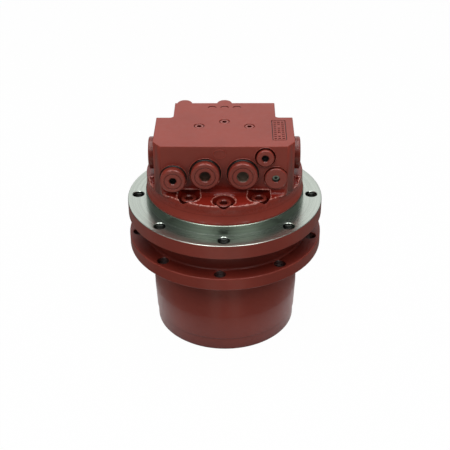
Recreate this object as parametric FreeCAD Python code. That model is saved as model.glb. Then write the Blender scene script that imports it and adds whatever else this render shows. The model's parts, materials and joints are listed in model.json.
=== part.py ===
"""Travel motor with a planetary final drive for a compact excavator.

The drive stands on its gearbox end. The hub turns about the Z axis, the floor is z = 0 and
the front of the valve block faces -Y. From the floor up: rotating hub with two planetary
stages, sprocket flange, frame flange with its pilot spigot, and the motor's valve block.
"""
import FreeCAD, Part
import math
import os
from collections import namedtuple

V = FreeCAD.Vector
AXIS = V(0, 0, 1)
FRONT = V(0, -1, 0)
REAR = V(0, 1, 0)
RIGHT = V(1, 0, 0)

# ---- Driving dimensions, mm -------------------------------------------------------------
# Fits and working gaps
SEAT_GAP = 0.05
BORE_GAP = 0.15
WORK_GAP = 0.3
# How far a cutter runs on past an open end
RUN_OUT = 20.0

# Hub
HUB_WALL = 10.0
FOOT_RELIEF = 1.4
END_BAND_RELIEF = 2.5
END_BAND_H = 15.0
HUB_TAPER_H = 27.0
HUB_BARREL_H = 98.9
SPROCKET_FLANGE_T = 14.1
SPROCKET_BOLT_IN = 10.0
SPROCKET_BOLTS = 9
SPROCKET_FIRST_DEG = -92.5
SPROCKET_HOLE_R = 6.0
NECK_WALL = 7.4
SEAL_SLOT = 1.5
SHOULDER_STEP = 4.0
SHOULDER_H = 10.0
EDGE_ROUND = 1.2
HOLE_BEVEL = 0.8

# End cover
COVER_INSET = 5.0
COVER_T = 10.0
SNAP_RING_T = 2.0
SNAP_GROOVE_DEPTH = 1.8
SNAP_RING_W = 3.0
SNAP_SLIT_W = 10.0
COVER_SEAL_R = 1.5
FILL_PLUG_R = 8.0
FILL_PLUG_OFFSET = 42.0
FILL_PLUG_KEY = 8.0
COVER_DISH = 2.0
COVER_DISH_RIM = 14.0
BUTTON_R = 10.0
BUTTON_STEM_R = 5.0

# Frame flange and pilot spigot of the motor casing
SPIGOT_R = 85.0
SPIGOT_H = 11.2
FRAME_FLANGE_W = 20.0
FRAME_FLANGE_T = 16.2
FRAME_BOLT_OUT = 9.0
FRAME_BOLTS = 8
FRAME_HOLE_R = 6.0

# Gear train
MODULE = 2.0
PRESSURE_DEG = 25.0
ADDENDUM = 0.85
DEDENDUM = 1.15
FLANK_GAP = 0.15
RING_TEETH = 60
SUN1_TEETH = 12
SUN2_TEETH = 18
PLANETS = 3
RING_RIM = 7.7
RING_CLEAR = 2.0
GEAR_CLEAR = 7.2
PLANET1_H = 18.5
PLANET2_H = 21.5
WASHER_T = 1.2
CARRIER_T = 5.0
CARRIER_R = 50.0
PIN1_R = 6.0
PIN2_R = 8.0
NEEDLE1_R = 1.4
NEEDLE2_R = 1.6
NEEDLES = 14
SUN2_BORE_R = 8.5
SUN2_SPIGOT_R = 12.5
PIN2_GRIP = 20.0

# Main bearings, ring nut and floating seal
BEARING_W = 16.0
BEARING_SECTION = 15.0
BEARING_BALL_R = 4.6
BEARING_BALLS = 28
RACE_LIP = 2.2
CAGE_T = 1.8
CAGE_W = 12.0
NUT_WALL = 9.0
NUT_H = 9.5
NUT_SLOTS = 4
NUT_SLOT_W = 7.0
NUT_SLOT_DEPTH = 3.5
THREAD_STEP = 3.0
NUT_CLEAR = 1.5
SEAL_CAVITY_STEP = 10.0
SEAL_CAVITY_H = 8.5
SEAL_RUBBER_R = 3.2
SEAL_RING_W = 8.3
SEAL_RING_LIP = 1.6
SEAL_RUBBER_RISE = 5.4
SPINDLE_NECK_STEP = 11.0

# Motor chamber and shaft
SPINDLE_WALL = 9.0
WEB_T = 29.5
SHAFT_R = 9.0
QUILL_R = 6.5
SEAL_JOURNAL_R = 8.0
FRONT_BEARING_R = 20.0
FRONT_BEARING_W = 12.0
FRONT_BALLS = 9
SHAFT_SEAL_R = 15.0
SHAFT_SEAL_W = 7.0
REAR_BEARING_R = 14.0
REAR_BEARING_W = 12.0
REAR_NEEDLE_R = 2.3

# Swash plate and pistons
SWASH_DEG = 12.0
PIVOT_RISE = 10.6
PIVOT_X = 30.0
PIVOT_BALL_R = 4.6
PIVOT_POST_R = 6.5
SWASH_R = 37.5
SWASH_BACK = 2.0
SWASH_FACE = 6.0
SWASH_HOLE_R = 15.0
PISTONS = 9
PISTON_CIRCLE_R = 24.0
PISTON_R = 5.4
PISTON_BALL_R = 3.9
PISTON_NECK_R = 2.6
PISTON_L = 33.0
PISTON_WALL = 2.2
SHOE_R = 6.5
SHOE_T = 2.2
SHOE_NECK_R = 5.3
SHOE_H = 5.0
RETAINER_T = 2.0
RETAINER_R = 33.0
GUIDE_R = 12.0
GUIDE_BELOW = 2.0
GUIDE_ABOVE = 7.0
GUIDE_WALL = 3.0
CYLINDER_WALL = 4.6
CYLINDER_L = 35.0
SPRING_ROOM = 5.0
SPRING_SEAT_LOW = 6.0
SPRING_SEAT_HIGH = 8.0
BLOCK_DISCS = 16
BLOCK_DISC_T = 0.9
VALVE_PLATE_T = 3.0
KIDNEY_HALF_W = 2.6
KIDNEY_L = 36.0
SPEED_PISTON_R = 5.0
SPEED_PISTON_Y = -28.0
SPEED_PISTON_L = 14.0

# Parking brake
BRAKE_STEP_OUT = 5.0
BRAKE_PLATE_T = 1.6
BRAKE_PLATE_IN_R = 38.0
FRICTION_OUT_R = 44.0
BRAKE_PISTON_H = 5.5
BRAKE_STROKE = 1.5
DISC_SPRING_T = 1.0

# Valve block
BLOCK_BASE_H = 20.9
BLOCK_LIP_RELIEF = 0.7
BLOCK_LIP_H = 2.7
BLOCK_LIP_STEP = 0.7
BLOCK_STEP_H = 10.7
LEDGE_STEP = 0.4
BLOCK_H = 53.8
BLOCK_FRONT_Y = -55.5
BLOCK_FRONT_HALF = 65.0
BLOCK_BEVEL_Y = 9.5
BLOCK_HALF = 71.6
BLOCK_STEP_Y = 12.0
BLOCK_REAR_HALF = 53.8
BLOCK_REAR_Y = 48.5
BLOCK_COVE_R = 5.5
BLOCK_CORNER_R = 4.0
TOP_BEVEL = 0.5
LOBE_R = 8.0
LOBE_XS = (-43.3, -0.2)
RECESS_R = 39.0
RECESS_H = 7.7

BLOCK_SEAL_R = 58.0
BLOCK_SEAL_WIRE_R = 1.5

# Block screws, M10 socket heads
SCREW_IN = 11.9
SCREW_DEGS = (0, 30, -30, 120, -120, 150, -150, 180)
SCREW_R = 5.0
SCREW_HEAD_R = 8.0
SCREW_HEAD_H = 10.0
SCREW_GRIP = 14.0
SCREW_SEAT_DROP = 10.9
SCREW_KEY = 8.0
POCKET_BOTTOM_R = 10.3
POCKET_TOP_R = 12.4

# Counterbalance spool and its caps, along X
SPOOL_Y = -5.0
SPOOL_DROP = 32.5
SPOOL_R = 9.0
SPOOL_HALF_L = 46.0
SPOOL_NOSE_R = 4.0
SPOOL_NOSE_L = 4.0
SPOOL_LAND_L = 15.0
SPOOL_WAIST_R = 6.0
SPOOL_CONE_L = 2.0
SPOOL_MID_HALF_L = 10.0
SPOOL_SPRING_R = 5.7
SPOOL_WIRE_R = 1.0
SPOOL_COILS = 6
CAP_R = 17.0
CAP_OUT = 7.7
CAP_SHANK_R = 12.0
CAP_SHANK_L = 17.0
CAP_KEY = 14.0
CAP_BORE_R = 7.4
CAP_FLOOR = 3.0
SIDE_RELIEF_H = 14.0
SIDE_RELIEF_W = 30.0
SIDE_RELIEF_DEPTH = 7.0

# Speed spool behind its plug, along Y
SPEED_SPOOL_R = 5.5
SPEED_SPOOL_L = 46.0
SPEED_WAIST_R = 3.6
SPEED_BORE_END_Y = 20.0
SPEED_SPRING_R = 3.2
SPEED_WIRE_R = 0.7
SPEED_COILS = 7
SPEED_PLUG_FLOOR = 4.0

# Ports on the rear face
MAIN_PORT_R = 9.5
MAIN_PORT_L = 16.0
MAIN_PORT_X = 22.0
SMALL_PORT_R = 5.8
SMALL_PORT_L = 12.0
SPOOL_DRILL_R = 4.0
PLATE_DRILL_R = 3.0
PILOT_DRILL_R = 2.0
PORT_DROP = 32.0
DRAIN_DROP = 38.0
DRAIN_X = 43.0

# Small sealing plugs in the top face
TOP_PLUG_R = 4.9
TOP_PLUG_L = 8.0
TOP_PLUG_KEY = 4.6
TOP_PLUG_BEVEL = 0.9
TOP_PLUG_SUNK = 0.5
TOP_PLUGS = ((-25.8, -8.0), (0.2, 2.4), (26.2, -8.8))

# Front plugs; drop is measured down from the top face, spot is the spot face in the wall
FrontPlug = namedtuple("FrontPlug", "x drop head_r head_h key shank_r shank_l spot_r")
PLUG_LEFT = FrontPlug(-51.3, 34.8, 12.9, 9.0, 6.5, 10.0, 20.0, 14.2)
RELIEF_LEFT = FrontPlug(-18.8, 29.9, 14.7, 8.5, 10.0, 11.5, 30.0, 16.6)
RELIEF_RIGHT = FrontPlug(19.2, 30.3, 14.9, 8.0, 10.0, 11.5, 30.0, 16.8)
SPEED_PLUG = FrontPlug(41.6, 12.1, 8.9, 3.8, 6.5, 7.0, 12.0, 10.9)
PLUG_RIGHT = FrontPlug(52.6, 34.9, 11.5, 3.6, 0.0, 8.5, 18.0, 12.5)
SPOT_DEPTH = 0.6
PLUG_SEAL_R = 1.1
PLUG_GROOVE_HALF_W = 0.45
PLUG_GROOVE_DEPTH = 0.5
PLUG_KEY_DEPTH = 6.0
LEFT_GROOVE_R = 8.6
RELIEF_GROOVE_R = 10.3
GAUGE_HOLE_R = 3.8
GAUGE_KEY = 3.0

# ---- Levels and derived sizes -----------------------------------------------------------
PLANET1_TEETH = (RING_TEETH - SUN1_TEETH) // 2
PLANET2_TEETH = (RING_TEETH - SUN2_TEETH) // 2
CENTRE1 = MODULE * (SUN1_TEETH + PLANET1_TEETH) / 2
CENTRE2 = MODULE * (SUN2_TEETH + PLANET2_TEETH) / 2

HUB_BORE_R = MODULE * (RING_TEETH / 2 + DEDENDUM) + RING_RIM
HUB_R = HUB_BORE_R + HUB_WALL
HUB_FOOT_R = HUB_R - FOOT_RELIEF
END_BAND_R = HUB_R - END_BAND_RELIEF
SHOULDER_R = HUB_BORE_R - SHOULDER_STEP
BEARING_BORE_R = HUB_BORE_R - BEARING_SECTION
THREAD_R = BEARING_BORE_R - THREAD_STEP
SEAL_CAVITY_R = HUB_BORE_R + SEAL_CAVITY_STEP
NECK_R = SEAL_CAVITY_R + NECK_WALL
SPINDLE_NECK_R = BEARING_BORE_R + SPINDLE_NECK_STEP
CHAMBER_R = BEARING_BORE_R - SPINDLE_WALL
BRAKE_R = CHAMBER_R + BRAKE_STEP_OUT
BLOCK_R = PISTON_CIRCLE_R + PISTON_R + CYLINDER_WALL
FRAME_FLANGE_R = SPIGOT_R + FRAME_FLANGE_W
FRAME_BOLT_R = SPIGOT_R + FRAME_BOLT_OUT
SPROCKET_FLANGE_R = FRAME_FLANGE_R
SPROCKET_BOLT_R = SPROCKET_FLANGE_R - SPROCKET_BOLT_IN
BLOCK_LIP_R = SPIGOT_R - BLOCK_LIP_RELIEF
BLOCK_BASE_R = BLOCK_LIP_R - BLOCK_LIP_STEP
LEDGE_R = BLOCK_BASE_R - LEDGE_STEP
SCREW_CIRCLE_R = LEDGE_R - SCREW_IN

Z_COVER = COVER_INSET
Z_COVER_TOP = Z_COVER + COVER_T
Z_RING_GEAR = Z_COVER_TOP + RING_CLEAR
Z_PLANET1 = Z_COVER_TOP + GEAR_CLEAR
Z_SHAFT_END = Z_PLANET1 - 1.0
Z_PLANET1_TOP = Z_PLANET1 + PLANET1_H
Z_CARRIER = Z_PLANET1_TOP + WASHER_T + SEAT_GAP
Z_CARRIER_TOP = Z_CARRIER + CARRIER_T
Z_PLANET2 = Z_CARRIER_TOP + WORK_GAP + 0.5
Z_PLANET2_TOP = Z_PLANET2 + PLANET2_H
Z_SPINDLE_END = Z_PLANET2_TOP + WASHER_T + SEAT_GAP
Z_CHAMBER = Z_SPINDLE_END + WEB_T
Z_NUT = Z_SPINDLE_END + 2.0
Z_RING_GEAR_TOP = Z_NUT - NUT_CLEAR
Z_BEARING_LOWER = Z_NUT + NUT_H
BALL_CIRCLE_R = (HUB_BORE_R + BEARING_BORE_R) / 2
Z_SHOULDER = Z_BEARING_LOWER + BEARING_W
Z_SHOULDER_TOP = Z_SHOULDER + SHOULDER_H
Z_BEARING_UPPER = Z_SHOULDER_TOP + BEARING_W

Z_SPROCKET = HUB_BARREL_H
Z_SPROCKET_TOP = Z_SPROCKET + SPROCKET_FLANGE_T
Z_HUB_TOP = Z_BEARING_UPPER + 3.0 + SEAL_CAVITY_H
Z_FRAME_UNDER = Z_HUB_TOP + SEAL_SLOT
Z_FRAME = Z_FRAME_UNDER + FRAME_FLANGE_T
Z_JOINT = Z_FRAME + SPIGOT_H
Z_LEDGE = Z_JOINT + BLOCK_BASE_H
Z_TOP = Z_LEDGE + BLOCK_H
Z_SEAL = (Z_HUB_TOP + Z_FRAME_UNDER) / 2

Z_PIVOT = Z_CHAMBER + PIVOT_RISE
BALL_PLANE = SWASH_FACE + SHOE_H
TILT = math.radians(SWASH_DEG)
Z_BALL_CENTRE = Z_PIVOT + BALL_PLANE / math.cos(TILT)
Z_RECESS_TOP = Z_JOINT + RECESS_H
Z_VALVE_PLATE = Z_RECESS_TOP - VALVE_PLATE_T
Z_CYLINDERS_TOP = Z_VALVE_PLATE - BORE_GAP
Z_CYLINDERS = Z_CYLINDERS_TOP - CYLINDER_L
Z_SHAFT_TOP = Z_RECESS_TOP + REAR_BEARING_W + 1.0
BRAKE_STEP = BRAKE_PLATE_T + WORK_GAP
Z_BRAKE_PISTON_TOP = Z_JOINT - BRAKE_STROKE - WORK_GAP
Z_BRAKE_PISTON = Z_BRAKE_PISTON_TOP - BRAKE_PISTON_H
Z_BRAKE = Z_BRAKE_PISTON - 5 * BRAKE_STEP

Z_SPOOL = Z_TOP - SPOOL_DROP
Z_SCREW_SEAT = Z_LEDGE - SCREW_SEAT_DROP


# ---- Shape helpers ----------------------------------------------------------------------
def cyl(r, z0, z1, x=0.0, y=0.0):
    return Part.makeCylinder(r, z1 - z0, V(x, y, z0))


def tube(ro, ri, z0, z1, x=0.0, y=0.0):
    return cyl(ro, z0, z1, x, y).cut(cyl(ri, z0 - 1, z1 + 1, x, y))


def cone(r0, r1, z0, z1, x=0.0, y=0.0):
    return Part.makeCone(r0, r1, z1 - z0, V(x, y, z0))


def prism(points, z0, z1):
    wire = Part.makePolygon([V(x, y, z0) for x, y in points + points[:1]])
    return Part.Face(wire).extrude(V(0, 0, z1 - z0))


def turned(profile):
    """Solid of revolution about Z from a closed (radius, height) outline."""
    wire = Part.makePolygon([V(r, 0, z) for r, z in profile + profile[:1]])
    return Part.Face(wire).revolve(V(0, 0, 0), AXIS, 360)


def torus(ring_r, tube_r, z):
    return Part.makeTorus(ring_r, tube_r, V(0, 0, z))


def hex_bar(key, z0, z1):
    corner = key / math.sqrt(3)
    points = [(corner * math.cos(math.radians(60 * k)), corner * math.sin(math.radians(60 * k)))
              for k in range(6)]
    return prism(points, z0, z1)


def stand(shape, origin, direction):
    """Turn a shape built along +Z to point along direction, with its zero at origin."""
    placed = shape.copy()
    frame = FreeCAD.Placement(origin, FreeCAD.Rotation(AXIS, direction))
    placed.Placement = frame.multiply(placed.Placement)
    return placed


def polar(radius, count, first_deg=0.0):
    steps = [math.radians(first_deg + 360.0 * k / count) for k in range(count)]
    return [(radius * math.cos(a), radius * math.sin(a)) for a in steps]


def moved(shape, x, y, z=0.0):
    copy = shape.copy()
    copy.translate(V(x, y, z))
    return copy


def spread(shape, places):
    return Part.makeCompound([moved(shape, x, y) for x, y in places])


def union(shapes):
    return shapes[0].fuse(shapes[1:]).removeSplitter()


def circles_at(shape, radius, z):
    """Circular edges of a given radius that lie level at height z."""
    found = []
    for edge in shape.Edges:
        curve = edge.Curve
        if isinstance(curve, Part.Circle) and abs(curve.Radius - radius) < 1e-4:
            if abs(curve.Center.z - z) < 1e-4 and abs(curve.Axis.z) > 0.999:
                found.append(edge)
    return found


def socket_cut(key, depth, top):
    """Hex socket with a countersunk rim and a drill point, opening at height top."""
    corner = key / math.sqrt(3)
    rim = cone(corner - 0.3, corner + 0.6, top - 0.9, top + 0.001)
    point = cone(0.2, key / 2 - 0.1, top - depth - 1.2, top - depth)
    return union([hex_bar(key, top - depth, top + 1), rim, point])


def spring(ring_r, wire_r, z0, z1, turns):
    """Helical compression spring between two levels."""
    length = z1 - z0 - 2 * wire_r
    helix = Part.makeHelix(length / turns, length, ring_r)
    section = Part.Wire([Part.makeCircle(wire_r, V(ring_r, 0, 0), V(0, 1, 0))])
    coil = helix.makePipeShell([section], True, True)
    coil.translate(V(0, 0, z0 + wire_r))
    return coil


# ---- Gears ------------------------------------------------------------------------------
def toothed_wire(teeth, root_r, tip_r, half_tooth, first_deg):
    """Closed involute outline with a tooth centred at first_deg."""
    pressure = math.radians(PRESSURE_DEG)
    pitch_r = MODULE * teeth / 2
    base_r = pitch_r * math.cos(pressure)
    start_r = max(root_r, base_r)

    def half_angle(r):
        slope = math.acos(min(1.0, base_r / r))
        return half_tooth / pitch_r + math.tan(pressure) - pressure - math.tan(slope) + slope

    def at(r, angle):
        return V(r * math.cos(angle), r * math.sin(angle), 0)

    radii = [start_r + (tip_r - start_r) * k / 4 for k in range(5)]
    pitch = 2 * math.pi / teeth
    root_half = half_angle(start_r)
    edges = []
    for tooth in range(teeth):
        mid = math.radians(first_deg) + tooth * pitch
        if root_r < start_r - 1e-6:
            edges.append(Part.makeLine(at(root_r, mid - root_half), at(start_r, mid - root_half)))
        rising = Part.BSplineCurve()
        rising.interpolate([at(r, mid - half_angle(r)) for r in radii])
        edges.append(rising.toShape())
        tip_half = half_angle(tip_r)
        edges.append(Part.Arc(at(tip_r, mid - tip_half), at(tip_r, mid),
                              at(tip_r, mid + tip_half)).toShape())
        falling = Part.BSplineCurve()
        falling.interpolate([at(r, mid + half_angle(r)) for r in reversed(radii)])
        edges.append(falling.toShape())
        if root_r < start_r - 1e-6:
            edges.append(Part.makeLine(at(start_r, mid + root_half), at(root_r, mid + root_half)))
        edges.append(Part.Arc(at(root_r, mid + root_half), at(root_r, mid + pitch / 2),
                              at(root_r, mid + pitch - root_half)).toShape())
    return Part.Wire(edges)


def gear_body(teeth, z0, z1, first_deg):
    """External gear with thinned teeth, so a pair in mesh keeps its backlash."""
    pitch_r = MODULE * teeth / 2
    half_tooth = math.pi * MODULE / 4 - FLANK_GAP
    wire = toothed_wire(teeth, pitch_r - DEDENDUM * MODULE, pitch_r + ADDENDUM * MODULE,
                        half_tooth, first_deg)
    solid = Part.Face(wire).extrude(V(0, 0, z1 - z0))
    solid.translate(V(0, 0, z0))
    return solid


def planet_phase(sun_teeth, planet_teeth, sun_first_deg, at_deg):
    """Direction of a planet tooth so that it meshes with the sun at at_deg."""
    return at_deg + 180 - (180 - (at_deg - sun_first_deg) * sun_teeth) / planet_teeth


# The first sun has a tooth on +X. The second-stage planets have an odd number of teeth, so
# their sun is turned by half a tooth pitch.
SUN1_FIRST_DEG = 0.0
SUN2_FIRST_DEG = 180.0 / SUN2_TEETH


def ring_gear():
    """Internal gear pressed in the hub, shared by both stages."""
    pitch_r = MODULE * RING_TEETH / 2
    half_space = math.pi * MODULE / 4 + FLANK_GAP
    wire = toothed_wire(RING_TEETH, pitch_r - ADDENDUM * MODULE, pitch_r + DEDENDUM * MODULE,
                        half_space, 180.0 / RING_TEETH)
    inner = Part.Face(wire).extrude(V(0, 0, Z_RING_GEAR_TOP - Z_RING_GEAR + 2))
    inner.translate(V(0, 0, Z_RING_GEAR - 1))
    body = cyl(HUB_BORE_R - SEAT_GAP, Z_RING_GEAR, Z_RING_GEAR_TOP)
    return body.cut(inner)


def planet(stage, index):
    """One planet gear of a stage, turned so that it meshes with its sun and the ring gear."""
    sun_teeth, teeth, first, centre, z0, height, pin_r, needle_r = {
        1: (SUN1_TEETH, PLANET1_TEETH, SUN1_FIRST_DEG, CENTRE1, Z_PLANET1, PLANET1_H,
            PIN1_R, NEEDLE1_R),
        2: (SUN2_TEETH, PLANET2_TEETH, SUN2_FIRST_DEG, CENTRE2, Z_PLANET2, PLANET2_H,
            PIN2_R, NEEDLE2_R)}[stage]
    angle = 360.0 * index / PLANETS
    body = gear_body(teeth, z0, z0 + height, planet_phase(sun_teeth, teeth, first, angle))
    body = body.cut(cyl(pin_r + 2 * needle_r + 2 * BORE_GAP, z0 - 1, z0 + height + 1))
    x, y = polar(centre, PLANETS)[index]
    return moved(body, x, y)


def needles(centre, pin_r, needle_r, z0, z1):
    """Needle rollers that stand round each pin."""
    circle_r = pin_r + needle_r + BORE_GAP
    one_set = spread(cyl(needle_r, z0 + 0.5, z1 - 0.5), polar(circle_r, NEEDLES))
    return spread(one_set, polar(centre, PLANETS))


def roller_set(centre, pin_r, needle_r, z0, z1, seat_z):
    """Needles and thrust washers of one stage, the washers lying against seat_z."""
    washer = tube(pin_r + 5.0, pin_r + SEAT_GAP, z1 + WORK_GAP, seat_z)
    rollers = needles(centre, pin_r, needle_r, z0, z1)
    return Part.makeCompound([rollers, spread(washer, polar(centre, PLANETS))])


def stage1_rollers():
    """Needles and washers of the first stage."""
    return roller_set(CENTRE1, PIN1_R, NEEDLE1_R, Z_PLANET1, Z_PLANET1_TOP, Z_CARRIER)


def stage2_rollers():
    """Needles and washers of the second stage."""
    return roller_set(CENTRE2, PIN2_R, NEEDLE2_R, Z_PLANET2, Z_PLANET2_TOP, Z_SPINDLE_END)


def stage1_carrier():
    """First carrier: plate with three pin holes, a seat for the second sun and cut-outs."""
    plate = cyl(CARRIER_R, Z_CARRIER, Z_CARRIER_TOP)
    cuts = [cyl(SUN2_SPIGOT_R + SEAT_GAP, Z_CARRIER - 1, Z_CARRIER_TOP + 1)]
    cuts += [cyl(PIN1_R + SEAT_GAP, Z_CARRIER - 1, Z_CARRIER_TOP + 1, x, y)
             for x, y in polar(CENTRE1, PLANETS)]
    cuts += [cyl(CARRIER_R / 3, Z_CARRIER - 1, Z_CARRIER_TOP + 1, x, y)
             for x, y in polar(CARRIER_R + 6, PLANETS, 180.0 / PLANETS)]
    plate = plate.cut(cuts)
    return plate.makeFillet(0.6, circles_at(plate, CARRIER_R, Z_CARRIER))


def stage1_pins():
    """Pins pressed in the carrier plate, with a shoulder that keeps the planet on."""
    pin = cyl(PIN1_R, Z_PLANET1 - WORK_GAP, Z_CARRIER_TOP)
    shoulder = cyl(PIN1_R + 3.0, Z_PLANET1 - WORK_GAP - 2.0, Z_PLANET1 - WORK_GAP)
    return spread(union([pin, shoulder]), polar(CENTRE1, PLANETS))


def stage2_sun_gear():
    """Second-stage sun, held in the first carrier by its spigot."""
    gear = gear_body(SUN2_TEETH, Z_CARRIER_TOP, Z_PLANET2_TOP - 0.5, SUN2_FIRST_DEG)
    spigot = cyl(SUN2_SPIGOT_R, Z_CARRIER, Z_CARRIER_TOP)
    bore = cyl(SUN2_BORE_R, Z_CARRIER - 1, Z_PLANET2_TOP + 1)
    return union([gear, spigot]).cut(bore)


def stage2_pins():
    """Planet pins fixed in the end of the spindle."""
    pin = cyl(PIN2_R, Z_PLANET2 - WORK_GAP, Z_SPINDLE_END + PIN2_GRIP)
    return spread(pin, polar(CENTRE2, PLANETS))


# ---- Hub --------------------------------------------------------------------------------
def hub_housing():
    """Turned hub: end band, tapered barrel, sprocket flange and the neck above it."""
    taper_start = END_BAND_H + 2.5
    outline = [
        (HUB_BORE_R, 0), (END_BAND_R - EDGE_ROUND, 0), (END_BAND_R, EDGE_ROUND),
        (END_BAND_R, END_BAND_H), (HUB_FOOT_R, END_BAND_H + 1.0), (HUB_FOOT_R, taper_start),
        (HUB_R, taper_start + HUB_TAPER_H), (HUB_R, Z_SPROCKET),
        (SPROCKET_FLANGE_R, Z_SPROCKET), (SPROCKET_FLANGE_R, Z_SPROCKET_TOP),
        (NECK_R, Z_SPROCKET_TOP), (NECK_R, Z_HUB_TOP), (SEAL_CAVITY_R, Z_HUB_TOP),
        (SEAL_CAVITY_R, Z_HUB_TOP - SEAL_CAVITY_H), (HUB_BORE_R, Z_HUB_TOP - SEAL_CAVITY_H),
        (HUB_BORE_R, Z_SHOULDER_TOP), (SHOULDER_R, Z_SHOULDER_TOP), (SHOULDER_R, Z_SHOULDER),
        (HUB_BORE_R, Z_SHOULDER)]
    hub = turned(outline)
    rims = circles_at(hub, SPROCKET_FLANGE_R, Z_SPROCKET)
    rims += circles_at(hub, SPROCKET_FLANGE_R, Z_SPROCKET_TOP)
    hub = hub.makeFillet(EDGE_ROUND, rims)
    hub = hub.makeFillet(2 * EDGE_ROUND, circles_at(hub, NECK_R, Z_SPROCKET_TOP))
    snap_z = Z_COVER - SNAP_RING_T
    cuts = [cyl(HUB_BORE_R + SNAP_GROOVE_DEPTH, snap_z - SEAT_GAP, Z_COVER)]
    for x, y in polar(SPROCKET_BOLT_R, SPROCKET_BOLTS, SPROCKET_FIRST_DEG):
        cuts.append(cyl(SPROCKET_HOLE_R, Z_SPROCKET - 1, Z_SPROCKET_TOP + 1, x, y))
        cuts.append(cone(SPROCKET_HOLE_R, SPROCKET_HOLE_R + HOLE_BEVEL + 0.01,
                         Z_SPROCKET_TOP - HOLE_BEVEL, Z_SPROCKET_TOP + 0.01, x, y))
        cuts.append(cone(SPROCKET_HOLE_R + HOLE_BEVEL + 0.01, SPROCKET_HOLE_R,
                         Z_SPROCKET - 0.01, Z_SPROCKET + HOLE_BEVEL, x, y))
    return hub.cut(cuts)


def end_cover():
    """Cover plate with an O-ring groove and two tapped filler holes."""
    rim = HUB_BORE_R - SEAT_GAP
    groove_r = rim - 2 * COVER_SEAL_R
    middle = Z_COVER + COVER_T / 2
    dish = Z_COVER + COVER_DISH
    plate = turned([
        (0, dish), (rim - COVER_DISH_RIM, dish), (rim - COVER_DISH_RIM + 2 * COVER_DISH, Z_COVER),
        (rim, Z_COVER),
        (rim, middle - COVER_SEAL_R), (groove_r, middle - COVER_SEAL_R),
        (groove_r, middle + COVER_SEAL_R), (rim, middle + COVER_SEAL_R),
        (rim, Z_COVER_TOP), (0, Z_COVER_TOP)])
    cuts = [cyl(BUTTON_STEM_R + SEAT_GAP, Z_COVER_TOP - 5.0, Z_COVER_TOP + 1)]
    for side in (-1, 1):
        cuts.append(cyl(FILL_PLUG_R + SEAT_GAP, Z_COVER - 1, Z_COVER_TOP + 1,
                        side * FILL_PLUG_OFFSET, 0))
    return plate.cut(cuts)


def cover_snap_ring():
    """Split ring that holds the end cover in the hub."""
    z0 = Z_COVER - SNAP_RING_T
    inner = HUB_BORE_R - SNAP_RING_W
    ring = tube(HUB_BORE_R + SNAP_GROOVE_DEPTH - SEAT_GAP, inner, z0, Z_COVER)
    slit = Part.makeBox(4 * SNAP_RING_W, SNAP_SLIT_W, SNAP_RING_T + 2,
                        V(inner - 2.0, -SNAP_SLIT_W / 2, z0 - 1))
    return ring.cut(slit)


def cover_plugs():
    """Filler and drain plugs of the end cover, their sockets facing the floor."""
    low = Z_COVER + COVER_DISH
    plug = cyl(FILL_PLUG_R, low, Z_COVER_TOP - 1.0)
    socket = stand(socket_cut(FILL_PLUG_KEY, 4.5, 0), V(0, 0, low), V(0, 0, -1))
    return spread(plug.cut(socket), [(FILL_PLUG_OFFSET, 0), (-FILL_PLUG_OFFSET, 0)])


def thrust_button():
    """Button in the cover that the drive gear's end bears on."""
    stem = cyl(BUTTON_STEM_R, Z_COVER_TOP - 5.0 + SEAT_GAP, Z_COVER_TOP)
    head = cyl(BUTTON_R, Z_COVER_TOP, Z_SHAFT_END - WORK_GAP)
    return union([stem, head])


# ---- Main bearings, nut and floating seal -----------------------------------------------
def race_pair(build):
    """One row below the hub's inner shoulder and one above it."""
    return Part.makeCompound([build(Z_BEARING_LOWER), build(Z_SHOULDER_TOP)])


def main_bearing_outer_races():
    """Outer races pressed in the hub."""
    def race(z0):
        mouth = BALL_CIRCLE_R + RACE_LIP
        ring = tube(HUB_BORE_R - SEAT_GAP, mouth, z0, z0 + BEARING_W)
        return ring.cut(torus(BALL_CIRCLE_R, BEARING_BALL_R + BORE_GAP, z0 + BEARING_W / 2))
    return race_pair(race)


def main_bearing_inner_races():
    """Inner races on the spindle, set by the ring nut."""
    def race(z0):
        mouth = BALL_CIRCLE_R - RACE_LIP
        ring = tube(mouth, BEARING_BORE_R + SEAT_GAP, z0, z0 + BEARING_W)
        return ring.cut(torus(BALL_CIRCLE_R, BEARING_BALL_R + BORE_GAP, z0 + BEARING_W / 2))
    return race_pair(race)


def main_bearing_balls():
    """Both ball rows, each ball in a pocket of the cage that spaces the row."""
    def row(z0):
        level = z0 + BEARING_W / 2
        places = polar(BALL_CIRCLE_R, BEARING_BALLS)
        cage = tube(BALL_CIRCLE_R + CAGE_T / 2, BALL_CIRCLE_R - CAGE_T / 2,
                    level - CAGE_W / 2, level + CAGE_W / 2)
        cage = cage.cut([stand(cyl(BEARING_BALL_R + SEAT_GAP, -3 * CAGE_T, 3 * CAGE_T),
                               V(x, y, level), V(x, y, 0)) for x, y in places])
        balls = [Part.makeSphere(BEARING_BALL_R, V(x, y, level)) for x, y in places]
        return Part.makeCompound([cage] + balls)
    return race_pair(row)


def ring_nut():
    """Slotted nut on the spindle thread that sets the bearings."""
    outer = THREAD_R + NUT_WALL
    nut = tube(outer, THREAD_R + SEAT_GAP, Z_NUT, Z_BEARING_LOWER)
    slots = []
    for k in range(NUT_SLOTS):
        slot = Part.makeBox(NUT_WALL, NUT_SLOT_W, NUT_H / 2 + 1,
                            V(outer - NUT_SLOT_DEPTH, -NUT_SLOT_W / 2, Z_NUT - 1))
        slot.rotate(V(0, 0, 0), AXIS, 45.0 + 360.0 * k / NUT_SLOTS)
        slots.append(slot)
    return nut.cut(slots)


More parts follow.
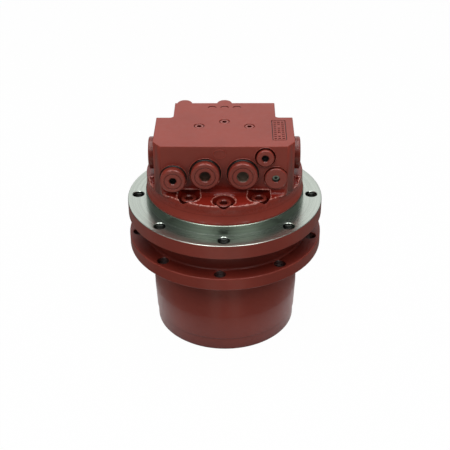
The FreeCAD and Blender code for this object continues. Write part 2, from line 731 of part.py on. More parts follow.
def seal_ring(face_z, away):
    """Hard seal ring: flat lapped face at face_z, conical seat for its rubber ring."""
    height = SEAL_CAVITY_H + SEAL_SLOT / 2 - 0.8
    outer = SEAL_CAVITY_R - 2.2
    inner = outer - SEAL_RING_W
    return turned([
        (inner, face_z), (outer, face_z), (outer, face_z + away * SEAL_RING_LIP),
        (inner + 4.6, face_z + away * 2.4), (inner + 3.4, face_z + away * height),
        (inner, face_z + away * height)])


def seal_rubber(level_z, away):
    """Rubber ring that presses a seal ring's cone, a little slimmer than its room."""
    ring_r = SEAL_CAVITY_R - SEAT_GAP - SEAL_RUBBER_R
    return torus(ring_r, SEAL_RUBBER_R - 0.35, level_z + away * SEAL_RUBBER_RISE)


def seal_ring_lower():
    """Seal ring that turns with the hub."""
    return seal_ring(Z_SEAL - WORK_GAP / 2, -1)


def seal_ring_upper():
    """Seal ring that stands in the motor casing."""
    return seal_ring(Z_SEAL + WORK_GAP / 2, 1)


def hub_rubber_seals():
    """Rubber ring of the lower seal ring and the end cover's O-ring."""
    cover_ring = torus(HUB_BORE_R - SEAT_GAP - COVER_SEAL_R, COVER_SEAL_R - SEAT_GAP,
                       Z_COVER + COVER_T / 2)
    return Part.makeCompound([seal_rubber(Z_SEAL, -1), cover_ring])


def casing_rubber_seals():
    """Rubber ring of the upper seal ring and the O-ring under the valve block."""
    block_ring = torus(BLOCK_SEAL_R, BLOCK_SEAL_WIRE_R,
                       Z_JOINT - BLOCK_SEAL_WIRE_R - SEAT_GAP)
    return Part.makeCompound([seal_rubber(Z_SEAL, 1), block_ring])


# ---- Motor casing -----------------------------------------------------------------------
def motor_casing():
    """Frame flange, pilot spigot and the spindle that carries the hub, in one casting."""
    cavity_top = Z_FRAME_UNDER + SEAL_CAVITY_H
    body = turned([
        (0, Z_SPINDLE_END), (THREAD_R, Z_SPINDLE_END), (THREAD_R, Z_BEARING_LOWER),
        (BEARING_BORE_R, Z_BEARING_LOWER), (BEARING_BORE_R, Z_BEARING_UPPER + 0.1),
        (SPINDLE_NECK_R, Z_BEARING_UPPER + 2.6), (SPINDLE_NECK_R, cavity_top),
        (SEAL_CAVITY_R, cavity_top), (SEAL_CAVITY_R, Z_FRAME_UNDER),
        (FRAME_FLANGE_R, Z_FRAME_UNDER), (FRAME_FLANGE_R, Z_FRAME), (SPIGOT_R, Z_FRAME),
        (SPIGOT_R, Z_JOINT), (0, Z_JOINT)])
    body = body.makeFillet(EDGE_ROUND, circles_at(body, FRAME_FLANGE_R, Z_FRAME_UNDER))
    body = body.makeChamfer(0.5, circles_at(body, FRAME_FLANGE_R, Z_FRAME))
    body = body.makeChamfer(0.6, circles_at(body, SPIGOT_R, Z_JOINT))
    cuts = [cyl(CHAMBER_R, Z_CHAMBER, Z_JOINT + 1)]
    cuts.append(cyl(BRAKE_R, Z_BRAKE, Z_JOINT + 1))
    cuts.append(cyl(FRONT_BEARING_R + SEAT_GAP, Z_CHAMBER - FRONT_BEARING_W - 1.5, Z_CHAMBER + 1))
    cuts.append(cyl(SHAFT_SEAL_R + SEAT_GAP, Z_SPINDLE_END - 1, Z_SPINDLE_END + SHAFT_SEAL_W))
    cuts.append(cyl(SHAFT_R + 2.0, Z_SPINDLE_END - 1, Z_CHAMBER + 1))
    cuts.append(cyl(SPEED_PISTON_R + BORE_GAP, Z_CHAMBER - SPEED_PISTON_L, Z_CHAMBER + 1,
                    0, SPEED_PISTON_Y))
    for x, y in polar(CENTRE2, PLANETS):
        cuts.append(cyl(PIN2_R + SEAT_GAP, Z_SPINDLE_END - 1, Z_SPINDLE_END + PIN2_GRIP, x, y))
    for x, y in polar(FRAME_BOLT_R, FRAME_BOLTS, -90.0):
        cuts.append(cyl(FRAME_HOLE_R, Z_FRAME_UNDER - 1, Z_FRAME + 1, x, y))
        cuts.append(cone(FRAME_HOLE_R, FRAME_HOLE_R + HOLE_BEVEL + 0.01,
                         Z_FRAME - HOLE_BEVEL, Z_FRAME + 0.01, x, y))
    for x, y in screw_places():
        cuts.append(cyl(SCREW_R + SEAT_GAP, Z_JOINT - SCREW_GRIP - 1.0, Z_JOINT + 1, x, y))
    cuts.append(torus(BLOCK_SEAL_R, BLOCK_SEAL_WIRE_R + SEAT_GAP, Z_JOINT - BLOCK_SEAL_WIRE_R))
    body = body.cut(cuts)
    swing = SWASH_BACK / math.cos(TILT) + PIVOT_POST_R * math.tan(TILT)
    post_top = Z_PIVOT - swing - WORK_GAP
    posts = []
    for side in (-1, 1):
        post = cyl(PIVOT_POST_R, Z_CHAMBER - 1.0, post_top, side * PIVOT_X, 0)
        posts.append(post.cut(Part.makeSphere(PIVOT_BALL_R + SEAT_GAP,
                                              V(side * PIVOT_X, 0, Z_PIVOT))))
    return union([body] + posts)


def pivot_balls():
    """Balls that the swash plate rocks on."""
    return Part.makeCompound([Part.makeSphere(PIVOT_BALL_R, V(side * PIVOT_X, 0, Z_PIVOT))
                              for side in (-1, 1)])


def shaft_oil_seal():
    """Lip seal between the motor chamber and the gear oil."""
    z0 = Z_SPINDLE_END + SEAT_GAP
    z1 = Z_SPINDLE_END + SHAFT_SEAL_W
    lip = SEAL_JOURNAL_R + BORE_GAP
    return turned([(SHAFT_SEAL_R, z0), (SHAFT_SEAL_R, z1), (SHAFT_SEAL_R - 2.5, z1),
                   (SHAFT_SEAL_R - 2.5, z0 + 2.0), (lip + 1.6, z0 + 2.0), (lip, z0 + 3.4),
                   (lip, z0 + 2.4), (lip + 0.8, z0)])


def front_bearing_level():
    """Height of the shaft's ball bearing."""
    return Z_CHAMBER - FRONT_BEARING_W / 2 - 1.0


def shaft_bearings():
    """Shaft bearings: front outer race with its balls, rear drawn cup with its needles."""
    return Part.makeCompound([front_bearing_outer(), rear_bearing()])


def front_bearing_outer():
    """Ball bearing's outer race in the casing, with its balls."""
    level = front_bearing_level()
    ball_r = FRONT_BEARING_W / 4
    circle_r = (FRONT_BEARING_R + SHAFT_R) / 2
    ring = tube(FRONT_BEARING_R, circle_r + ball_r / 2, level - FRONT_BEARING_W / 2,
                level + FRONT_BEARING_W / 2)
    ring = ring.cut(torus(circle_r, ball_r + SEAT_GAP, level))
    balls = [Part.makeSphere(ball_r, V(x, y, level)) for x, y in polar(circle_r, FRONT_BALLS)]
    return Part.makeCompound([ring] + balls)


def front_bearing_inner():
    """Ball bearing's inner race on the shaft."""
    level = front_bearing_level()
    ball_r = FRONT_BEARING_W / 4
    circle_r = (FRONT_BEARING_R + SHAFT_R) / 2
    ring = tube(circle_r - ball_r / 2, SHAFT_R + SEAT_GAP, level - FRONT_BEARING_W / 2,
                level + FRONT_BEARING_W / 2)
    return ring.cut(torus(circle_r, ball_r + BORE_GAP, level))


def rear_bearing():
    """Drawn cup with needles in the valve block."""
    z0 = Z_RECESS_TOP
    z1 = z0 + REAR_BEARING_W
    cup = tube(REAR_BEARING_R, SHAFT_R + 2 * REAR_NEEDLE_R + 2 * BORE_GAP, z0, z1)
    circle_r = SHAFT_R + REAR_NEEDLE_R + BORE_GAP
    rollers = [cyl(REAR_NEEDLE_R, z0 + 1, z1 - 1, x, y) for x, y in polar(circle_r, NEEDLES)]
    return Part.makeCompound([cup] + rollers)


# ---- Shaft and piston group -------------------------------------------------------------
def motor_shaft():
    """Drive shaft: quill for the drive gear, seal journal, bearing seats."""
    step = Z_SPINDLE_END + SHAFT_SEAL_W + 2.0
    return turned([
        (0, Z_SHAFT_END), (QUILL_R - 0.5, Z_SHAFT_END), (QUILL_R, Z_SHAFT_END + 0.5),
        (QUILL_R, Z_SPINDLE_END - 1.0), (SEAL_JOURNAL_R, Z_SPINDLE_END),
        (SEAL_JOURNAL_R, step), (SHAFT_R, step + 1.0), (SHAFT_R, Z_SHAFT_TOP - 1.0),
        (SHAFT_R - 1.0, Z_SHAFT_TOP), (0, Z_SHAFT_TOP)])


def drive_gear():
    """First-stage sun on the shaft's splined end."""
    top = Z_PLANET1_TOP + 1.0
    gear = gear_body(SUN1_TEETH, Z_SHAFT_END, top, SUN1_FIRST_DEG)
    return gear.cut(cyl(QUILL_R + SEAT_GAP, Z_SHAFT_END - 1, top + 1))


def cylinder_block():
    """Cylinder barrel with nine bores, kidney slots and a chamber for its spring."""
    body = cyl(BLOCK_R, Z_CYLINDERS, Z_CYLINDERS_TOP)
    body = body.makeChamfer(1.5, circles_at(body, BLOCK_R, Z_CYLINDERS))
    cuts = [cyl(SHAFT_R + SEAT_GAP, Z_CYLINDERS - 1, Z_CYLINDERS_TOP + 1)]
    cuts.append(cyl(SHAFT_R + SPRING_ROOM, Z_CYLINDERS + SPRING_SEAT_LOW,
                    Z_CYLINDERS_TOP - SPRING_SEAT_HIGH))
    for x, y in polar(PISTON_CIRCLE_R, PISTONS):
        cuts.append(cyl(PISTON_R + BORE_GAP, Z_CYLINDERS - 1, Z_CYLINDERS_TOP - 5.0, x, y))
        cuts.append(cyl(KIDNEY_HALF_W, Z_CYLINDERS_TOP - 6.0, Z_CYLINDERS_TOP + 1, x, y))
    return body.cut(cuts)


def block_spring():
    """Stack of disc springs round the shaft, set in alternate directions."""
    low = Z_CYLINDERS + SPRING_SEAT_LOW
    pitch = (Z_CYLINDERS_TOP - SPRING_SEAT_HIGH - low) / BLOCK_DISCS
    inner = SHAFT_R + WORK_GAP
    outer = SHAFT_R + SPRING_ROOM - WORK_GAP
    washers = []
    for k in range(BLOCK_DISCS):
        z0 = low + k * pitch
        rise = pitch - BLOCK_DISC_T - 0.02
        start, end = (0, rise) if k % 2 else (rise, 0)
        washers.append(turned([(inner, z0 + start), (outer, z0 + end),
                               (outer, z0 + end + BLOCK_DISC_T),
                               (inner, z0 + start + BLOCK_DISC_T)]))
    return Part.makeCompound(washers)


def ball_guide():
    """Hemispherical guide that presses the retainer plate towards the swash plate."""
    ball = Part.makeSphere(GUIDE_R, V(0, 0, Z_BALL_CENTRE))
    bore = SHAFT_R + SEAT_GAP
    band = tube(GUIDE_R + 1, bore, Z_BALL_CENTRE - GUIDE_BELOW, Z_BALL_CENTRE + GUIDE_ABOVE)
    sleeve = tube(SHAFT_R + GUIDE_WALL, bore, Z_BALL_CENTRE + GUIDE_ABOVE / 2, Z_CYLINDERS)
    return union([ball.common(band), sleeve])


def piston_places():
    """Each piston's x, y and the height of its ball centre on the tilted plane."""
    places = []
    for x, y in polar(PISTON_CIRCLE_R, PISTONS):
        places.append((x, y, Z_BALL_CENTRE + y * math.tan(TILT)))
    return places


def pistons():
    """Nine hollow pistons, each with the ball that its shoe grips."""
    made = []
    for x, y, z in piston_places():
        ball = Part.makeSphere(PISTON_BALL_R, V(x, y, z))
        neck = cyl(PISTON_NECK_R, z + 1.0, z + PISTON_BALL_R + 3.0, x, y)
        body = cyl(PISTON_R, z + PISTON_BALL_R + 2.6, z + PISTON_L, x, y)
        body = body.cut(cyl(PISTON_R - PISTON_WALL, z + PISTON_BALL_R + 8.0, z + PISTON_L + 1, x, y))
        made.append(union([ball, neck, body]))
    return Part.makeCompound(made)


def tilted(shape):
    """Place a shape drawn about the pivot, with its face level, on the tilted swash."""
    turned_shape = shape.copy()
    turned_shape.rotate(V(0, 0, 0), RIGHT, SWASH_DEG)
    turned_shape.translate(V(0, 0, Z_PIVOT))
    return turned_shape


def shoe_places():
    """Shoe centres in the swash plate's own plane, where the piston balls stand."""
    shift = BALL_PLANE * math.tan(TILT)
    return [(x, y / math.cos(TILT) + shift) for x, y in polar(PISTON_CIRCLE_R, PISTONS)]


def swash_plate():
    """Tilting plate that the shoes slide on, with a seat for each pivot ball."""
    plate = cyl(SWASH_R, -SWASH_BACK, SWASH_FACE)
    plate = plate.makeChamfer(EDGE_ROUND, circles_at(plate, SWASH_R, SWASH_FACE))
    cuts = [cyl(SWASH_HOLE_R, -SWASH_BACK - 1, SWASH_FACE + 1)]
    for side in (-1, 1):
        cuts.append(Part.makeSphere(PIVOT_BALL_R + BORE_GAP, V(side * PIVOT_X, 0, 0)))
    return tilted(plate.cut(cuts))


def piston_shoes():
    """Slipper shoes: flange on the swash face, crimped socket round each piston ball."""
    low = SWASH_FACE + BORE_GAP
    top = BALL_PLANE + PISTON_BALL_R * 0.45
    shoe = union([cyl(SHOE_R, low, SWASH_FACE + SHOE_T), cyl(SHOE_NECK_R, low, top)])
    socket = Part.makeSphere(PISTON_BALL_R + BORE_GAP, V(0, 0, BALL_PLANE))
    shoe = shoe.cut([socket, cyl(1.0, low - 1, BALL_PLANE)])
    return tilted(spread(shoe, shoe_places()))


def retainer_plate():
    """Plate that holds the shoe flanges down on the swash plate."""
    low = SWASH_FACE + SHOE_T + SEAT_GAP
    shift = BALL_PLANE * math.tan(TILT)
    plate = cyl(RETAINER_R, low, low + RETAINER_T, 0, shift)
    cuts = [cyl(GUIDE_R + 2.2, low - 1, low + RETAINER_T + 1, 0, shift)]
    cuts += [cyl(SHOE_NECK_R + BORE_GAP, low - 1, low + RETAINER_T + 1, x, y)
             for x, y in shoe_places()]
    return tilted(plate.cut(cuts))


def speed_piston():
    """Control piston that lifts the low side of the swash plate for high speed."""
    back = SWASH_BACK / math.cos(TILT) - SPEED_PISTON_Y * math.tan(TILT)
    tip = Z_PIVOT - back - WORK_GAP - SPEED_PISTON_R * math.tan(TILT)
    body = cyl(SPEED_PISTON_R, Z_CHAMBER - SPEED_PISTON_L + 1.0, tip, 0, SPEED_PISTON_Y)
    return body.makeChamfer(0.8, circles_at(body, SPEED_PISTON_R, tip))


def valve_plate():
    """Port plate with two kidney slots, pinned under the valve block."""
    plate = tube(BLOCK_R, SHAFT_R + 1.0, Z_VALVE_PLATE, Z_RECESS_TOP - SEAT_GAP)
    slots = []
    for side in (-1, 1):
        slot = tube(PISTON_CIRCLE_R + KIDNEY_HALF_W, PISTON_CIRCLE_R - KIDNEY_HALF_W,
                    Z_VALVE_PLATE - 1, Z_RECESS_TOP + 1)
        keep = Part.makeBox(BLOCK_R, KIDNEY_L, 4 * VALVE_PLATE_T,
                            V(min(0, side * BLOCK_R), -KIDNEY_L / 2,
                              Z_VALVE_PLATE - VALVE_PLATE_T))
        slots.append(slot.common(keep))
    return plate.cut(slots)


# ---- Parking brake ----------------------------------------------------------------------
def brake_separators():
    """Three steel plates held by the casing."""
    plates = [tube(BRAKE_R - BORE_GAP, BRAKE_PLATE_IN_R, Z_BRAKE + 2 * k * BRAKE_STEP,
                   Z_BRAKE + 2 * k * BRAKE_STEP + BRAKE_PLATE_T) for k in range(3)]
    return Part.makeCompound(plates)


def brake_friction_discs():
    """Two lined discs that turn with the cylinder block."""
    discs = [tube(FRICTION_OUT_R, BLOCK_R + SEAT_GAP, Z_BRAKE + k * BRAKE_STEP,
                  Z_BRAKE + k * BRAKE_STEP + BRAKE_PLATE_T) for k in (1, 3)]
    return Part.makeCompound(discs)


def brake_piston():
    """Ring piston that oil lifts off the brake pack."""
    return turned([
        (BRAKE_R - BORE_GAP, Z_BRAKE_PISTON), (BRAKE_R - BORE_GAP, Z_BRAKE_PISTON_TOP),
        (RECESS_R + 1.0, Z_BRAKE_PISTON_TOP), (BRAKE_PLATE_IN_R, Z_BRAKE_PISTON_TOP - 2.0),
        (BRAKE_PLATE_IN_R, Z_BRAKE_PISTON)])


def brake_disc_spring():
    """Conical disc spring between the brake piston and the valve block."""
    low = Z_BRAKE_PISTON_TOP + 0.1
    high = Z_JOINT - 0.1 - DISC_SPRING_T
    return turned([(BRAKE_R - 1.0, high), (BRAKE_R - 1.0, high + DISC_SPRING_T),
                   (RECESS_R + 3.0, low + DISC_SPRING_T), (RECESS_R + 3.0, low)])


# ---- Valve block ------------------------------------------------------------------------
def screw_places():
    """Centres of the block screws, counted from the front."""
    return [(SCREW_CIRCLE_R * math.sin(math.radians(d)), -SCREW_CIRCLE_R * math.cos(math.radians(d)))
            for d in SCREW_DEGS]


def cove(length, radius):
    """Concave fillet strip along +X: foot at the origin, wall on the +Y side."""
    corner = [V(0, 0, 0), V(0, -radius, 0)]
    mid = radius * (1 - math.sqrt(0.5))
    arc = Part.Arc(V(0, -radius, 0), V(0, -mid, mid), V(0, 0, radius)).toShape()
    wire = Part.Wire([Part.makeLine(corner[0], corner[1]), arc,
                      Part.makeLine(V(0, 0, radius), corner[0])])
    return Part.Face(wire).extrude(V(length, 0, 0))


def foot_cove(start, end):
    """Cove along a wall's foot from start to end, with the wall on its left."""
    run = V(end[0] - start[0], end[1] - start[1], 0)
    strip = cove(run.Length, BLOCK_COVE_R)
    strip.rotate(V(0, 0, 0), AXIS, math.degrees(math.atan2(run.y, run.x)))
    strip.translate(V(start[0], start[1], Z_LEDGE))
    return strip


def plug_origin(plug):
    """Middle of a front plug's spot face on the block's front wall."""
    return V(plug.x, BLOCK_FRONT_Y + SPOT_DEPTH, Z_TOP - plug.drop)


def block_body():
    """Round base and faceted upper body of the casting, without its machining."""
    base = turned([
        (0, Z_JOINT), (BLOCK_LIP_R, Z_JOINT), (BLOCK_LIP_R, Z_JOINT + BLOCK_LIP_H),
        (BLOCK_BASE_R, Z_JOINT + BLOCK_LIP_H + 0.4), (BLOCK_BASE_R, Z_JOINT + BLOCK_STEP_H),
        (BLOCK_BASE_R - 0.2, Z_JOINT + BLOCK_STEP_H + 0.3), (LEDGE_R, Z_LEDGE - 0.8),
        (LEDGE_R - 0.8, Z_LEDGE), (0, Z_LEDGE)])
    half = [(BLOCK_FRONT_HALF, BLOCK_FRONT_Y), (BLOCK_HALF, BLOCK_FRONT_Y + BLOCK_BEVEL_Y),
            (BLOCK_HALF, BLOCK_STEP_Y), (BLOCK_REAR_HALF, BLOCK_STEP_Y),
            (BLOCK_REAR_HALF, BLOCK_REAR_Y)]
    plan = half + [(-x, y) for x, y in reversed(half)]
    upper = prism(plan, Z_LEDGE - 2.0, Z_TOP)
    corners = [e for e in upper.Edges if abs(abs(e.CenterOfMass.x) - BLOCK_REAR_HALF) < 1e-4
               and abs(e.CenterOfMass.y - BLOCK_STEP_Y) < 1e-4 and e.Length > BLOCK_H]
    upper = upper.makeFillet(BLOCK_CORNER_R, corners)
    lobes = [cyl(LOBE_R, Z_LEDGE - 2.0, Z_TOP, x, BLOCK_REAR_Y) for x in LOBE_XS]
    coves = [foot_cove(plan[-1], plan[0]), foot_cove(plan[1], plan[2]),
             foot_cove(plan[4], plan[5]), foot_cove(plan[7], plan[8])]
    upper = union([upper] + lobes + coves)
    upper = upper.common(cyl(BLOCK_LIP_R, Z_LEDGE - 3.0, Z_TOP + 1))
    top_edges = [e for e in upper.Edges if abs(e.BoundBox.ZMin - Z_TOP) < 1e-4]
    upper = upper.makeChamfer(TOP_BEVEL, top_edges)
    return union([base, upper])


def spool_bores():
    """Cross bore of the counterbalance spool and the threads of its two caps."""
    across = V(-BLOCK_HALF - 1, SPOOL_Y, Z_SPOOL)
    cuts = [stand(cyl(SPOOL_R + BORE_GAP, 0, 2 * BLOCK_HALF + 2), across, RIGHT)]
    for side in (-1, 1):
        mouth = V(side * (BLOCK_HALF - CAP_SHANK_L - 0.5), SPOOL_Y, Z_SPOOL)
        cuts.append(stand(cyl(CAP_SHANK_R + SEAT_GAP, 0, CAP_SHANK_L + RUN_OUT), mouth,
                          V(side, 0, 0)))
        wall = side * (BLOCK_HALF - SIDE_RELIEF_DEPTH)
        low = min(wall, side * (BLOCK_HALF + RUN_OUT))
        cuts.append(Part.makeBox(SIDE_RELIEF_DEPTH + RUN_OUT, SIDE_RELIEF_W, SIDE_RELIEF_H,
                                 V(low, SPOOL_Y - SIDE_RELIEF_W / 2, Z_LEDGE - 1.0)))
    return cuts


def front_bores():
    """Spot faces and threads of the front plugs, and the bore of the speed spool."""
    cuts = []
    for plug in (PLUG_LEFT, RELIEF_LEFT, RELIEF_RIGHT, SPEED_PLUG, PLUG_RIGHT):
        origin = plug_origin(plug)
        cuts.append(stand(cyl(plug.spot_r, 0, RUN_OUT), origin, FRONT))
        cuts.append(stand(cyl(plug.shank_r + SEAT_GAP, -plug.shank_l - 0.5, 1), origin, FRONT))
    start = V(SPEED_PLUG.x, SPEED_BORE_END_Y, Z_TOP - SPEED_PLUG.drop)
    cuts.append(stand(cyl(SPEED_SPOOL_R + BORE_GAP, 0, SPEED_BORE_END_Y - BLOCK_FRONT_Y),
                      start, FRONT))
    return cuts


def port_bores():
    """Rear ports and the drillings that join them to the spool and the port plate."""
    cuts = []
    for side in (-1, 1):
        mouth = V(side * MAIN_PORT_X, BLOCK_REAR_Y, Z_TOP - PORT_DROP)
        cuts.append(stand(cyl(MAIN_PORT_R, -MAIN_PORT_L, RUN_OUT), mouth, REAR))
        cuts.append(stand(cyl(SPOOL_DRILL_R, SPOOL_Y - BLOCK_REAR_Y, 1 - MAIN_PORT_L), mouth, REAR))
        cuts.append(cyl(PLATE_DRILL_R, Z_RECESS_TOP - 1, Z_SPOOL, side * (PISTON_CIRCLE_R - 0.6),
                        SPOOL_Y))
    drain = V(DRAIN_X, BLOCK_REAR_Y, Z_TOP - DRAIN_DROP)
    cuts.append(stand(cyl(SMALL_PORT_R, -SMALL_PORT_L, RUN_OUT), drain, REAR))
    pilot = V(SPEED_PLUG.x, BLOCK_REAR_Y, Z_TOP - SPEED_PLUG.drop)
    cuts.append(stand(cyl(SMALL_PORT_R, -SMALL_PORT_L, RUN_OUT), pilot, REAR))
    cuts.append(stand(cyl(PILOT_DRILL_R, SPEED_BORE_END_Y - BLOCK_REAR_Y - 1, 1 - SMALL_PORT_L),
                      pilot, REAR))
    return cuts


def valve_block():
    """Motor end block: casting, machined spot faces, bores, ports and screw pockets."""
    cuts = spool_bores() + front_bores() + port_bores()
    cuts.append(cyl(RECESS_R, Z_JOINT - 1, Z_RECESS_TOP))
    cuts.append(cyl(REAR_BEARING_R + SEAT_GAP, Z_RECESS_TOP - 1, Z_RECESS_TOP + REAR_BEARING_W + 2))
    for x, y in screw_places():
        cuts.append(cyl(SCREW_R + 0.5, Z_JOINT - 1, Z_SCREW_SEAT + 1, x, y))
        cuts.append(cone(POCKET_BOTTOM_R, POCKET_TOP_R, Z_SCREW_SEAT, Z_LEDGE, x, y))
        cuts.append(cone(POCKET_TOP_R, POCKET_TOP_R + 1.0, Z_LEDGE, Z_LEDGE + BLOCK_COVE_R, x, y))
    for x, y in TOP_PLUGS:
        cuts.append(cyl(TOP_PLUG_R + SEAT_GAP, Z_TOP - TOP_PLUG_L - 1, Z_TOP + 1, x, y))
        cuts.append(cone(TOP_PLUG_R, TOP_PLUG_R + TOP_PLUG_BEVEL + 0.01,
                         Z_TOP - TOP_PLUG_BEVEL, Z_TOP + 0.01, x, y))
    return block_body().cut(cuts)


def block_screws():
    """Socket head screws that clamp the valve block on the casing."""
    head = cyl(SCREW_HEAD_R, Z_SCREW_SEAT, Z_SCREW_SEAT + SCREW_HEAD_H)
    top = Z_SCREW_SEAT + SCREW_HEAD_H
    head = head.makeChamfer(0.8, circles_at(head, SCREW_HEAD_R, top))
    shank = cyl(SCREW_R, Z_JOINT - SCREW_GRIP, Z_SCREW_SEAT)
    screw = union([head, shank]).cut(socket_cut(SCREW_KEY, 5.0, top))
    return spread(screw, screw_places())


# ---- Plugs and spools in the valve block ------------------------------------------------
def plug_shank(plug):
    """Outline of a plug's threaded shank, from its middle up to the spot face."""
    r, low = plug.shank_r, -plug.shank_l
    return [(0, low), (r - 0.8, low), (r, low + 0.8), (r, 0)]


def front_plug(plug, groove_r):
    """Socket plug with a seal neck, a bevelled rim and a groove round its face."""
    face = plug.head_h + SPOT_DEPTH
    neck_r = plug.head_r - PLUG_SEAL_R - 0.2
    neck_h = 2 * PLUG_SEAL_R + 0.1
    body = turned(plug_shank(plug) + [
        (neck_r, 0), (neck_r, neck_h), (plug.head_r, neck_h + 0.4),
        (plug.head_r, face - 1.0), (plug.head_r - 1.0, face), (0, face)])
    groove = tube(groove_r + PLUG_GROOVE_HALF_W, groove_r - PLUG_GROOVE_HALF_W,
                  face - PLUG_GROOVE_DEPTH, face + 1)
    return body.cut([groove, socket_cut(plug.key, PLUG_KEY_DEPTH, face)])


def place_plug(body, plug):
    """Turn a plug drawn along +Z to face forwards from its own spot face."""
    return stand(body, plug_origin(plug), FRONT)


def plug_front_left():
    """Tall plug at the front wall's left-hand end."""
    return place_plug(front_plug(PLUG_LEFT, LEFT_GROOVE_R), PLUG_LEFT)


def relief_valve_plugs():
    """Grooved heads and shanks of the two relief valve cartridges."""
    return Part.makeCompound([place_plug(front_plug(plug, RELIEF_GROOVE_R), plug)
                              for plug in (RELIEF_LEFT, RELIEF_RIGHT)])


def flat_plug(plug):
    """Low plug with a thin flat head that seats straight on its spot face."""
    face = plug.head_h + SPOT_DEPTH
    body = turned(plug_shank(plug) + [
        (plug.head_r, 0), (plug.head_r, face - 0.8), (plug.head_r - 0.8, face), (0, face)])
    return body, face


def speed_spool_plug():
    """Plug at the front end of the speed spool, hollow for its spring."""
    body, face = flat_plug(SPEED_PLUG)
    spring_room = cyl(SPEED_SPRING_R + 1.3, -SPEED_PLUG.shank_l - 1, -SPEED_PLUG_FLOOR)
    body = body.cut([socket_cut(SPEED_PLUG.key, 4.5, face), spring_room])
    return place_plug(body, SPEED_PLUG)


def gauge_port_plug():
    """Right-hand plug with a plain round hole that takes a pressure gauge."""
    body, face = flat_plug(PLUG_RIGHT)
    rim = cone(GAUGE_HOLE_R, GAUGE_HOLE_R + 0.6, face - 0.6, face + 0.001)
    body = body.cut([cyl(GAUGE_HOLE_R, -6.0, face + 1), rim])
    return place_plug(body, PLUG_RIGHT)


def gauge_port_screw():
    """Small socket screw that closes the gauge hole."""
    top = PLUG_RIGHT.head_h + SPOT_DEPTH - 3.0
    screw = cyl(GAUGE_HOLE_R - SEAT_GAP, -5.5, top)
    return place_plug(screw.cut(hex_bar(GAUGE_KEY, top - 2.5, top + 1)), PLUG_RIGHT)


def plug_seals():
    """O-rings in the necks of the three tall front plugs."""
    rings = []
    for plug in (PLUG_LEFT, RELIEF_LEFT, RELIEF_RIGHT):
        ring_r = plug.head_r - 0.2 + SEAT_GAP
        rings.append(place_plug(torus(ring_r, PLUG_SEAL_R, PLUG_SEAL_R + SEAT_GAP), plug))
    return Part.makeCompound(rings)


def top_plugs():
    """Three socket plugs sunk in countersunk holes of the top face."""
    top = Z_TOP - TOP_PLUG_SUNK
    plug = cyl(TOP_PLUG_R, Z_TOP - TOP_PLUG_L, top)
    plug = plug.makeChamfer(TOP_PLUG_SUNK, circles_at(plug, TOP_PLUG_R, top))
    plug = plug.cut(hex_bar(TOP_PLUG_KEY, Z_TOP - 4.0, Z_TOP + 1))
    return spread(plug, TOP_PLUGS)


def spool_caps():
    """End caps of the counterbalance spool, hollow for its centring springs."""
    face = CAP_OUT
    cap = turned([
        (0, -CAP_FLOOR), (CAP_BORE_R, -CAP_FLOOR), (CAP_BORE_R, -CAP_SHANK_L),
        (CAP_SHANK_R, -CAP_SHANK_L),
        (CAP_SHANK_R, 0), (CAP_R, 0), (CAP_R, face - 1.0), (CAP_R - 1.0, face), (0, face)])
    cap = cap.cut(socket_cut(CAP_KEY, 6.0, face))
    return Part.makeCompound([stand(cap, V(side * BLOCK_HALF, SPOOL_Y, Z_SPOOL), V(side, 0, 0))
                              for side in (-1, 1)])


def counterbalance_spool():
    """Spool with three lands and a conical metering edge each side."""
    land = SPOOL_HALF_L - SPOOL_NOSE_L
    waist = land - SPOOL_LAND_L
    half = [(0, SPOOL_HALF_L), (SPOOL_NOSE_R, SPOOL_HALF_L), (SPOOL_NOSE_R, land),
            (SPOOL_R, land), (SPOOL_R, waist), (SPOOL_WAIST_R, waist - SPOOL_CONE_L),
            (SPOOL_WAIST_R, SPOOL_MID_HALF_L + SPOOL_CONE_L), (SPOOL_R, SPOOL_MID_HALF_L)]
    outline = half + [(r, -z) for r, z in reversed(half)]
    return stand(turned(outline), V(0, SPOOL_Y, Z_SPOOL), RIGHT)


def spool_springs():
    """Centring springs between the spool's lands and its caps."""
    land = BLOCK_HALF - SPOOL_HALF_L + SPOOL_NOSE_L
    coil = spring(SPOOL_SPRING_R, SPOOL_WIRE_R, CAP_FLOOR + BORE_GAP, land - 2 * WORK_GAP,
                  SPOOL_COILS)
    return Part.makeCompound([stand(coil, V(side * BLOCK_HALF, SPOOL_Y, Z_SPOOL),
                                    V(-side, 0, 0)) for side in (-1, 1)])


def speed_spool():
    """Two-speed spool with lands, pushed by the pilot port against its spring."""
    outline = [(0, 0), (SPEED_SPOOL_R, 0)]
    for start, end in ((0.17, 0.41), (0.65, 0.80)):
        outline += [(SPEED_SPOOL_R, start * SPEED_SPOOL_L),
                    (SPEED_WAIST_R, (start + 0.02) * SPEED_SPOOL_L),
                    (SPEED_WAIST_R, (end - 0.02) * SPEED_SPOOL_L),
                    (SPEED_SPOOL_R, end * SPEED_SPOOL_L)]
    outline += [(SPEED_SPOOL_R, SPEED_SPOOL_L), (0, SPEED_SPOOL_L)]
    start = V(SPEED_PLUG.x, SPEED_BORE_END_Y - WORK_GAP, Z_TOP - SPEED_PLUG.drop)
    return stand(turned(outline), start, FRONT)


def speed_spool_spring():
    """Return spring between the speed spool and its plug."""
    gap_start = SPEED_BORE_END_Y - WORK_GAP - SPEED_SPOOL_L
    start = V(SPEED_PLUG.x, gap_start - WORK_GAP, Z_TOP - SPEED_PLUG.drop)
    plug_inner = BLOCK_FRONT_Y + SPOT_DEPTH + SPEED_PLUG_FLOOR
    length = gap_start - 2 * WORK_GAP - plug_inner
    return stand(spring(SPEED_SPRING_R, SPEED_WIRE_R, 0, length, SPEED_COILS), start, FRONT)


